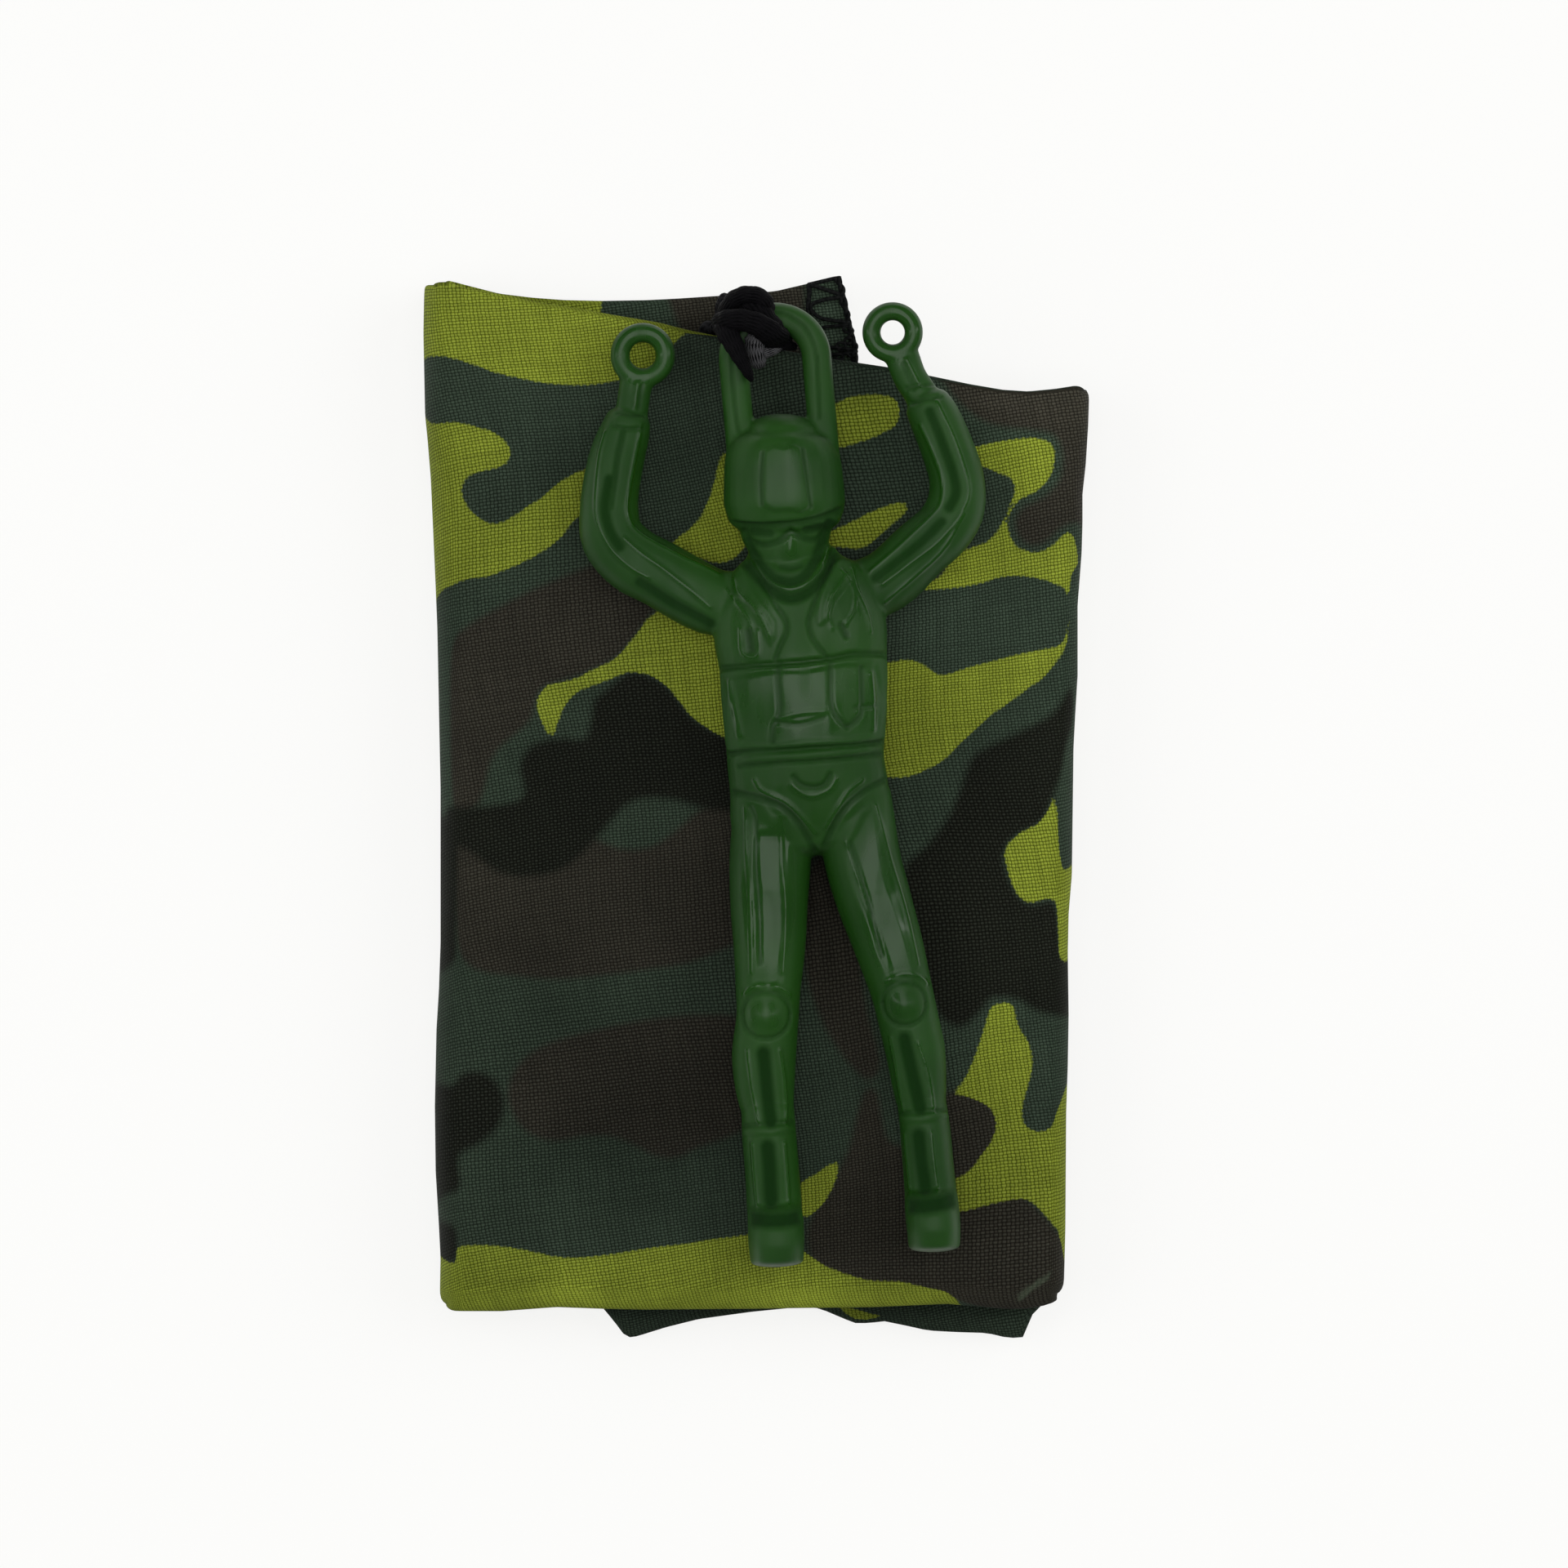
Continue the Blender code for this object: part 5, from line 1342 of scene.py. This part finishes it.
def ring_mesh(rings, closed=False):
    sides = len(rings[0])
    total = len(rings)
    faces = []
    for r in range(total if closed else total - 1):
        s = (r + 1) % total
        faces += [(r * sides + i, r * sides + (i + 1) % sides, s * sides + (i + 1) % sides,
                   s * sides + i) for i in range(sides)]
    if not closed:
        faces += [tuple(range(sides - 1, -1, -1)),
                  tuple((total - 1) * sides + i for i in range(sides))]
    return np.vstack(rings), faces, []


def round_ring(place_shares, outer, hole, depth, level):
    middle = np.array(place_shares) * FIGURE_HEIGHT
    radius = (outer + hole) / 4
    turns = 2 * math.pi * np.arange(40) / 40
    route = middle + np.column_stack((np.cos(turns), np.sin(turns))) * radius
    return ring_mesh(bar(route, (outer - hole) / 4, depth / 2, level, True, 2.8), True)


def figure_parts():
    parts = [ring_mesh(loft(body)) for body in (
        FACE, TORSO, LEFT_ARM, LEFT_WRIST, RIGHT_ARM, RIGHT_WRIST, LEFT_LEG, LEFT_BOOT,
        RIGHT_LEG, RIGHT_BOOT)]
    parts += [ring_mesh(loft(foot, 2.6, bulge=0.22)) for foot in (LEFT_FOOT, RIGHT_FOOT)]
    parts.append(ring_mesh(loft(HELMET, 2.15)))
    turns = np.linspace(math.pi / 2, -math.pi / 2, 33)
    arch = [(-math.sin(t) * LOOP_RADIUS, math.cos(t) * LOOP_RADIUS) for t in turns]
    left = [(arch[0][0], -LOOP_LEG * k / 6) for k in range(6, 0, -1)]
    right = [(arch[-1][0], -LOOP_LEG * k / 6) for k in range(1, 7)]
    parts.append(ring_mesh(bar(left + arch + right, 1.45, 1.5, LOOP_LEVEL, False)))
    parts.append(round_ring(LEFT_RING, 6.4, 2.6, 2.6, 3.6))
    parts.append(round_ring(RIGHT_RING, 6.0, 2.4, 2.6, 3.6))
    return parts



def oval(x, y, reach_x, reach_y, start=0, end=330):
    """Pixels round an oval, clockwise in degrees from its right end."""
    return [(x + reach_x * math.cos(math.radians(t)), y + reach_y * math.sin(math.radians(t)))
            for t in np.linspace(start, end, 12)]


# Raised pads with flat tops: how high, how wide the slope is, and the outline
PADS = (
    (0.55, 0.55, ((879, 823), (980, 815), (1082, 805), (1084, 850), (1082, 905), (985, 914),
                  (893, 921), (884, 870))),
    (-0.22, 0.5, ((900, 832), (985, 824), (1070, 815), (1071, 897), (985, 905), (911, 911))),
    (0.38, 0.5, ((918, 925), (980, 921), (1062, 913), (1062, 923), (980, 931), (918, 935))),
    (0.26, 0.45, ((936, 553), (960, 550), (981, 551), (991, 621), (965, 625), (934, 619))),
    (0.75, 2.4, oval(938, 1243, 15, 14)),
    (0.75, 2.2, oval(1107, 1229, 14, 13)),
    (0.26, 0.35, ((912, 1381), (976, 1377), (976, 1385), (912, 1389))),
    (0.26, 0.35, ((1092, 1367), (1164, 1361), (1164, 1369), (1092, 1375))),
    (0.40, 3.2, oval(954, 1524, 26, 17)),
    (0.40, 3.2, oval(1149, 1506, 25, 16)),
    (0.30, 0.6, ((890, 700), (905, 690), (930, 735), (950, 762), (944, 790), (920, 745),
                 (899, 725))),
    (0.30, 0.6, ((1020, 690), (1040, 686), (1045, 705), (1022, 735), (1012, 760), (1000, 765),
                 (1002, 735))),
    (0.25, 0.5, ((758, 508), (786, 510), (784, 524), (755, 521))),
    (0.25, 0.5, ((1112, 478), (1146, 474), (1150, 486), (1116, 492))),
)
# Cut lines: half width, depth, and the points of the line. A negative depth is a ridge.
CUTS = (
    (0.55, 0.55, ((884, 633), (896, 642), (930, 645), (965, 643), (1000, 637), (1034, 624))),
    (0.35, 0.25, ((934, 556), (932, 590), (933, 618))),
    (0.35, 0.28, ((983, 552), (988, 590), (993, 622))),
    (0.55, 0.30, ((912, 650), (918, 662), (935, 668), (955, 662), (967, 651))),
    (0.55, 0.30, ((970, 651), (985, 660), (1003, 660), (1014, 640))),
    (0.7, 0.18, ((922, 652), (943, 654))),
    (0.7, 0.18, ((987, 650), (1004, 646))),
    (1.5, -0.35, ((968, 652), (968, 664), (968, 674))),
    (0.45, 0.16, ((957, 694), (968, 696), (981, 693))),
    (0.8, 0.22, ((914, 664), (927, 686), (944, 705), (957, 711), (972, 712), (987, 703),
                 (999, 684), (1009, 660), (1018, 640))),
    (0.6, -0.28, ((903, 652), (915, 678), (935, 704), (955, 719), (971, 721), (990, 714),
                  (1006, 694), (1018, 664), (1026, 640))),
    (0.8, 0.55, ((903, 668), (918, 695), (938, 718), (958, 731), (975, 732), (995, 722),
                 (1012, 700), (1022, 672))),
    (0.38, 0.38, ((920, 688), (936, 717), (949, 740), (962, 760), (963, 775), (956, 790),
                  (949, 808))),
    (0.38, 0.38, ((1016, 689), (1003, 721), (991, 755), (990, 768), (996, 785), (1013, 805))),
    (0.35, -0.24, ((900, 710), (906, 727), (917, 737), (927, 748), (936, 762), (943, 779))),
    (0.35, -0.22, ((890, 722), (905, 742), (918, 760), (921, 775))),
    (0.35, -0.24, ((1035, 705), (1018, 731), (1013, 753), (1019, 770))),
    (0.35, -0.24, ((1042, 699), (1051, 727), (1061, 751), (1066, 774))),
    (0.35, -0.20, ((1030, 700), (1045, 720), (1046, 745), (1035, 765))),
    (0.42, 0.50, ((879, 819), (946, 814), (1010, 808), (1048, 801), (1085, 801))),
    (0.62, 0.30, ((917, 774), (919, 796))),
    (0.55, 0.28, ((1030, 766), (1036, 778))),
    (0.30, -0.18, ((906, 770), (909, 800), (928, 803), (929, 772))),
    (0.45, 0.24, ((954, 812), (953, 832), (955, 872), (947, 890), (946, 908))),
    (0.42, 0.28, ((1016, 812), (1017, 859), (1024, 878), (1036, 890))),
    (0.42, 0.24, ((1053, 818), (1054, 866), (1049, 880), (1037, 890))),
    (0.30, 0.20, ((1046, 867), (1070, 864))),
    (0.30, 0.20, ((953, 885), (979, 887), (1008, 879))),
    (0.40, -0.16, ((953, 880), (980, 873), (1010, 871))),
    (0.60, -0.30, ((896, 835), (901, 868), (908, 900))),
    (0.60, -0.30, ((1064, 826), (1067, 860), (1067, 893))),
    (0.42, 0.50, ((888, 924), (925, 919), (980, 917), (1085, 909))),
    (0.40, 0.36, ((905, 939), (953, 934), (1008, 931), (1080, 924))),
    (0.42, 0.36, ((972, 951), (980, 960), (994, 964), (1008, 961), (1017, 948))),
    (0.50, -0.22, ((970, 962), (985, 973), (1000, 974), (1016, 966), (1024, 954))),
    (0.55, 0.40, ((893, 970), (915, 974), (935, 979), (957, 988), (978, 1008), (997, 1042))),
    (0.50, 0.40, ((1090, 953), (1066, 964), (1043, 981), (1026, 1002), (1010, 1034))),
    (0.45, -0.24, ((924, 955), (933, 968), (963, 983), (985, 1005), (998, 1020))),
    (0.45, -0.24, ((1056, 955), (1039, 969), (1025, 991), (1012, 1013))),
    (0.35, 0.18, ((919, 988), (925, 1006), (926, 1060), (930, 1120), (931, 1180))),
    (0.35, -0.16, ((912, 990), (915, 1060), (918, 1120), (920, 1190))),
    (0.40, -0.16, ((956, 1000), (958, 1060), (962, 1120), (958, 1190))),
    (0.35, 0.18, ((1041, 1031), (1050, 1060), (1065, 1110), (1080, 1170))),
    (0.40, -0.16, ((1072, 985), (1090, 1050), (1108, 1110), (1124, 1180))),
    (0.35, -0.16, ((1035, 1030), (1054, 1085), (1078, 1150), (1090, 1190))),
    (0.34, 0.36, oval(938, 1243, 30, 28, 0, 180)),
    (0.34, 0.26, oval(938, 1241, 30, 27, 180, 360)),
    (0.40, -0.26, oval(938, 1231, 32, 26, 215, 330)),
    (0.34, 0.36, oval(1107, 1229, 27, 26, 0, 180)),
    (0.34, 0.26, oval(1107, 1227, 27, 25, 180, 360)),
    (0.40, -0.26, oval(1109, 1216, 30, 24, 215, 330)),
    (1.15, 0.42, ((935, 1290), (938, 1320), (941, 1350), (944, 1372))),
    (0.30, -0.26, ((915, 1285), (919, 1320), (924, 1350), (929, 1376))),
    (0.30, -0.26, ((955, 1285), (960, 1320), (962, 1350), (962, 1376))),
    (1.15, 0.42, ((1107, 1272), (1113, 1300), (1120, 1330), (1126, 1356))),
    (0.30, -0.26, ((1090, 1270), (1096, 1300), (1101, 1330), (1106, 1358))),
    (0.30, -0.26, ((1124, 1276), (1134, 1305), (1140, 1335), (1143, 1362))),
    (0.35, 0.30, ((906, 1378), (940, 1376), (980, 1372))),
    (0.35, 0.30, ((1090, 1363), (1126, 1361), (1163, 1357))),
    (1.25, 0.45, ((940, 1404), (942, 1430), (944, 1468))),
    (0.30, -0.28, ((921, 1400), (924, 1440), (928, 1476))),
    (0.30, -0.28, ((960, 1398), (964, 1440), (966, 1474))),
    (1.15, 0.45, ((1124, 1390), (1127, 1420), (1132, 1452))),
    (0.30, -0.28, ((1107, 1388), (1110, 1420), (1114, 1460))),
    (0.30, -0.28, ((1140, 1386), (1143, 1420), (1148, 1458))),
    (1.30, 0.55, ((914, 1490), (940, 1492), (965, 1491), (990, 1486))),
    (1.30, 0.55, ((1096, 1474), (1125, 1475), (1150, 1472), (1178, 1464))),
    (0.30, 0.22, ((757, 507), (772, 510), (788, 509))),
    (0.30, 0.22, ((752, 523), (770, 526), (787, 525))),
    (0.35, -0.30, ((781, 470), (779, 485), (777, 500))),
    (0.30, 0.20, ((787, 472), (784, 486), (783, 500))),
    (0.35, -0.24, ((742, 530), (734, 560), (730, 600), (730, 628), (737, 652), (752, 677),
                   (772, 695), (794, 708))),
    (0.35, -0.28, ((764, 660), (788, 680), (812, 697), (843, 721), (870, 744))),
    (0.35, -0.26, ((785, 524), (778, 560), (771, 600), (768, 625), (775, 645), (793, 660),
                   (825, 677), (860, 694), (880, 704))),
    (0.50, 0.24, ((764, 528), (757, 560), (752, 596), (748, 622))),
    (0.80, 0.22, ((746, 588), (741, 620), (746, 648), (759, 670))),
    (0.85, 0.24, ((784, 714), (820, 737), (846, 751), (870, 764))),
    (0.35, -0.30, ((1110, 441), (1119, 458), (1127, 475))),
    (0.30, 0.20, ((1105, 446), (1112, 462), (1119, 478))),
    (0.30, 0.22, ((1110, 476), (1128, 473), (1146, 471))),
    (0.30, 0.22, ((1117, 494), (1134, 490), (1152, 487))),
    (0.35, -0.26, ((1146, 492), (1165, 530), (1180, 572), (1186, 601), (1178, 626),
                   (1151, 662), (1112, 692), (1080, 716))),
    (0.35, -0.24, ((1127, 521), (1142, 555), (1153, 588), (1153, 611), (1146, 626),
                   (1116, 655), (1080, 688), (1066, 700))),
    (0.80, 0.28, ((1138, 505), (1152, 540), (1166, 580), (1170, 604), (1162, 622))),
    (0.75, 0.24, ((1152, 640), (1128, 664), (1098, 688), (1072, 708))),
    (0.38, -0.22, ((1180, 630), (1151, 678), (1101, 722), (1084, 738))),
    (0.35, 0.24, ((896, 430), (897, 470), (901, 512), (905, 528))),
    (0.35, 0.24, ((1000, 440), (1002, 480), (1003, 512))),
    (0.35, 0.22, ((896, 430), (900, 412), (913, 394), (935, 384), (960, 385), (982, 399),
                  (994, 418), (1000, 440))),
)

# Places where the top is planed flat: how deep, and the outline
FLATS = (
    (0.30, ((914, 985), (968, 1000), (968, 1100), (966, 1200), (916, 1205), (910, 1100))),
    (0.30, ((1030, 1040), (1085, 975), (1112, 1080), (1136, 1190), (1086, 1200), (1056, 1120))),
)
# Places that the mould left glossier, as ovals of the photograph with a share of the most
POLISHED = ((965, 580, 62, 70, 0.6), (985, 855, 100, 55, 0.9), (940, 1095, 40, 110, 1.2),
            (925, 765, 38, 50, 0.7), (1036, 752, 38, 50, 0.7), (985, 985, 80, 30, 0.6),
            (1092, 1100, 44, 110, 1.2), (938, 1243, 24, 22, 0.8), (1107, 1229, 22, 20, 0.8),
            (785, 435, 46, 46, 1.0), (1093, 408, 46, 46, 1.0))


def joined_mesh(parts, finish):
    """The parts as one closed skin, by a voxel remesh, smoothed."""
    points, faces, _ = merged(parts)
    rough = mesh_object("rough_figure", on_table(points), faces, finish)
    remesh = rough.modifiers.new("skin", 'REMESH')
    remesh.mode = 'VOXEL'
    remesh.voxel_size = VOXEL * MM
    smooth = rough.modifiers.new("smooth", 'SMOOTH')
    smooth.factor = 0.5
    smooth.iterations = 8
    graph = bpy.context.evaluated_depsgraph_get()
    mesh = bpy.data.meshes.new_from_object(rough.evaluated_get(graph))
    bpy.data.objects.remove(rough, do_unlink=True)
    return mesh


def carve(points, normals):
    """How far each point moves along its normal, and how much it is in a groove or on a ridge."""
    flat = points[:, :2]
    facing = ramp(0.05, 0.45, normals[:, 2])
    move = np.zeros(len(points))
    hollow_shade = np.zeros(len(points))
    ridge = np.zeros(len(points))
    for height, slope, outline in PADS:
        shape = curve_through(traced(outline), 2, True)
        low, high = shape.min(0) - slope, shape.max(0) + slope
        at = np.all((flat > low) & (flat < high), axis=1) & (facing > 0)
        move[at] += height * ramp(-slope / 2, slope / 2, depth_inside(flat[at], shape))
    for width, depth, line in CUTS:
        route = curve_through(traced(line), 4)
        low, high = route.min(0) - width, route.max(0) + width
        at = np.all((flat > low) & (flat < high), axis=1) & (facing > 0)
        sunk = 1 - ramp(0.0, width, gap_to_line(flat[at], route))
        move[at] -= depth * sunk
        if depth > 0:
            # Painted shade in the groove, stronger for wider grooves
            shade = np.minimum(1.4 * sunk, 1.0) * min(width, 1.0)
            hollow_shade[at] = np.maximum(hollow_shade[at], shade)
        else:
            ridge[at] = np.maximum(ridge[at], sunk)
    return move * facing * CARVE_SHARE, hollow_shade * facing, ridge * facing


def planed(points):
    """The points with the tops of the thighs planed flat across."""
    made = points.copy()
    for depth, outline in FLATS:
        inside = depth_inside(points[:, :2], curve_through(traced(outline), 2, True))
        at = (inside > 0) & (points[:, 2] > FIGURE_LEVEL + 4.0)
        level = points[at, 2]
        bins = np.floor(points[at, 1] / 0.6).astype(int)
        places = np.unique(bins)
        crowns = [level[bins == place].max() for place in places]
        crown = np.interp(points[at, 1], (places + 0.5) * 0.6, crowns)
        sink = np.maximum(level - crown + depth, 0.0)
        made[at, 2] = level - sink * ramp(0.0, 0.8, inside[at])
    return made


def polish(points):
    """From 0 on plain plastic to 1 where it is glossier."""
    most = np.zeros(len(points))
    for x, y, reach_x, reach_y, share in POLISHED:
        off = (points[:, :2] - traced([(x, y)])[0]) / (reach_x * PIXEL, reach_y * PIXEL)
        near = 1 - ramp(0.7, 1.15, np.hypot(off[:, 0], off[:, 1]))
        most = np.maximum(most, share * near)
    return most


def uneven(points, seed, length):
    """Slight waves of a moulded surface, longer down the jumper than across it."""
    return waves(points[:, :2] * (1.0, 0.4), seed, length)


def make_figure():
    mesh = joined_mesh(figure_parts(), PLASTIC)
    count = len(mesh.vertices)
    points = np.zeros(count * 3, np.float32)
    normals = np.zeros(count * 3, np.float32)
    mesh.vertices.foreach_get("co", points)
    mesh.vertices.foreach_get("normal", normals)
    points = points.reshape(-1, 3).astype(float) / MM
    normals = normals.reshape(-1, 3).astype(float)
    move, hollow_shade, ridge = carve(points, normals)
    points = planed(points)
    top = ramp(0.3, 0.8, normals[:, 2])
    points += normals * (move + 0.03 * top * uneven(points, 15, 3.6))[:, None]
    mesh.vertices.foreach_set("co", (points * MM).astype(np.float32).ravel())
    streaks = np.clip(0.96 + 0.16 * uneven(points, 16, 2.2), 0.0, 1.1)
    glossy = polish(points) * streaks * ramp(0.55, 0.9, normals[:, 2])
    glossy = np.maximum(glossy, 1.25 * ridge)
    for key, values in (("hollow_shade", hollow_shade), ("polish", glossy)):
        made = mesh.attributes.new(key, 'FLOAT', 'POINT')
        made.data.foreach_set("value", values.astype(np.float32))
    mesh.shade_smooth()
    mesh.name = "jumper_skin"
    jumper = bpy.data.objects.new("jumper_skin", mesh)
    bpy.context.scene.collection.objects.link(jumper)
    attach(jumper, "jumper")
    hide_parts("figure")
    print("jumper has", count, "points")


make_figure()

# The knot round the loop: places traced from the photograph with a height for each

KNOT_BANDS = (
    # half widths at the start and end, half depth, points as pixels and heights
    (0.95, 1.05, 0.85, ((887, 397, 14.6), (891, 382, 16.2), (901, 368, 17.4), (915, 363, 17.9),
                        (930, 366, 17.9), (940, 378, 17.6))),
    (1.25, 1.50, 0.80, ((908, 368, 16.8), (921, 377, 17.6), (933, 391, 18.0), (943, 405, 17.8),
                        (951, 418, 16.2), (954, 424, 13.8))),
    (1.15, 1.55, 0.72, ((884, 399, 15.4), (886, 397, 17.4), (895, 394, 18.7), (912, 394, 19.2),
                        (930, 400, 19.2), (944, 410, 18.4), (952, 418, 16.6))),
    (1.30, 0.42, 0.75, ((887, 397, 17.4), (892, 410, 18.3), (900, 426, 18.5), (907, 440, 18.3),
                        (913, 452, 18.0), (919, 464, 17.5))),
    (1.20, 1.10, 0.80, ((908, 378, 10.8), (903, 388, 12.4), (905, 402, 13.2), (918, 422, 12.9),
                        (935, 424, 13.2), (945, 410, 13.6))),
    (1.00, 1.00, 0.75, ((912, 374, 11.0), (905, 374, 12.8), (897, 386, 14.4), (897, 398, 16.4))),
    (0.55, 0.50, 0.45, ((948, 424, 16.4), (960, 423, 15.6), (972, 425, 14.8))),
)
KNOT_TAILS = ((1.05, 0.85, 0.55, ((925, 414, 17.6), (924, 424, 17.2), (926, 436, 16.8),
                                  (929, 447, 16.2))),
              (0.60, 0.55, 0.45, ((934, 434, 16.7), (944, 430, 16.4), (954, 425, 16.0))))


def make_knot():
    parts = []
    for first, last, deep, places in KNOT_BANDS + KNOT_TAILS:
        places = np.array(places, float)
        route = np.column_stack((traced(places[:, :2]), places[:, 2]))
        fine = curve_through(route, 8)
        count = len(fine)
        wide = np.linspace(first, last, count) * (1 + 0.04 * np.sin(np.arange(count) * 0.9))
        ends = np.minimum(1.0, 0.80 + np.minimum(np.arange(count), np.arange(count)[::-1]) / 14)
        parts.append(tube(fine, wide * ends, deep * ends, 28))
    points, faces, uv = merged(parts)
    rng = np.random.default_rng(4)
    # The tails get a painted highlight on their strand crowns
    painted_highlight = np.zeros(len(points))
    tail_size = sum(len(part[0]) for part in parts[-len(KNOT_TAILS):])
    painted_highlight[-tail_size:] = 1.0
    points = points + rng.normal(0, 0.02, points.shape)
    knot = mesh_object("loop_knot_cord", points, faces, KNOT_CORD, uv, {"painted_highlight": painted_highlight})
    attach(knot, "knot")
    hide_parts("loop_knot")


make_knot()
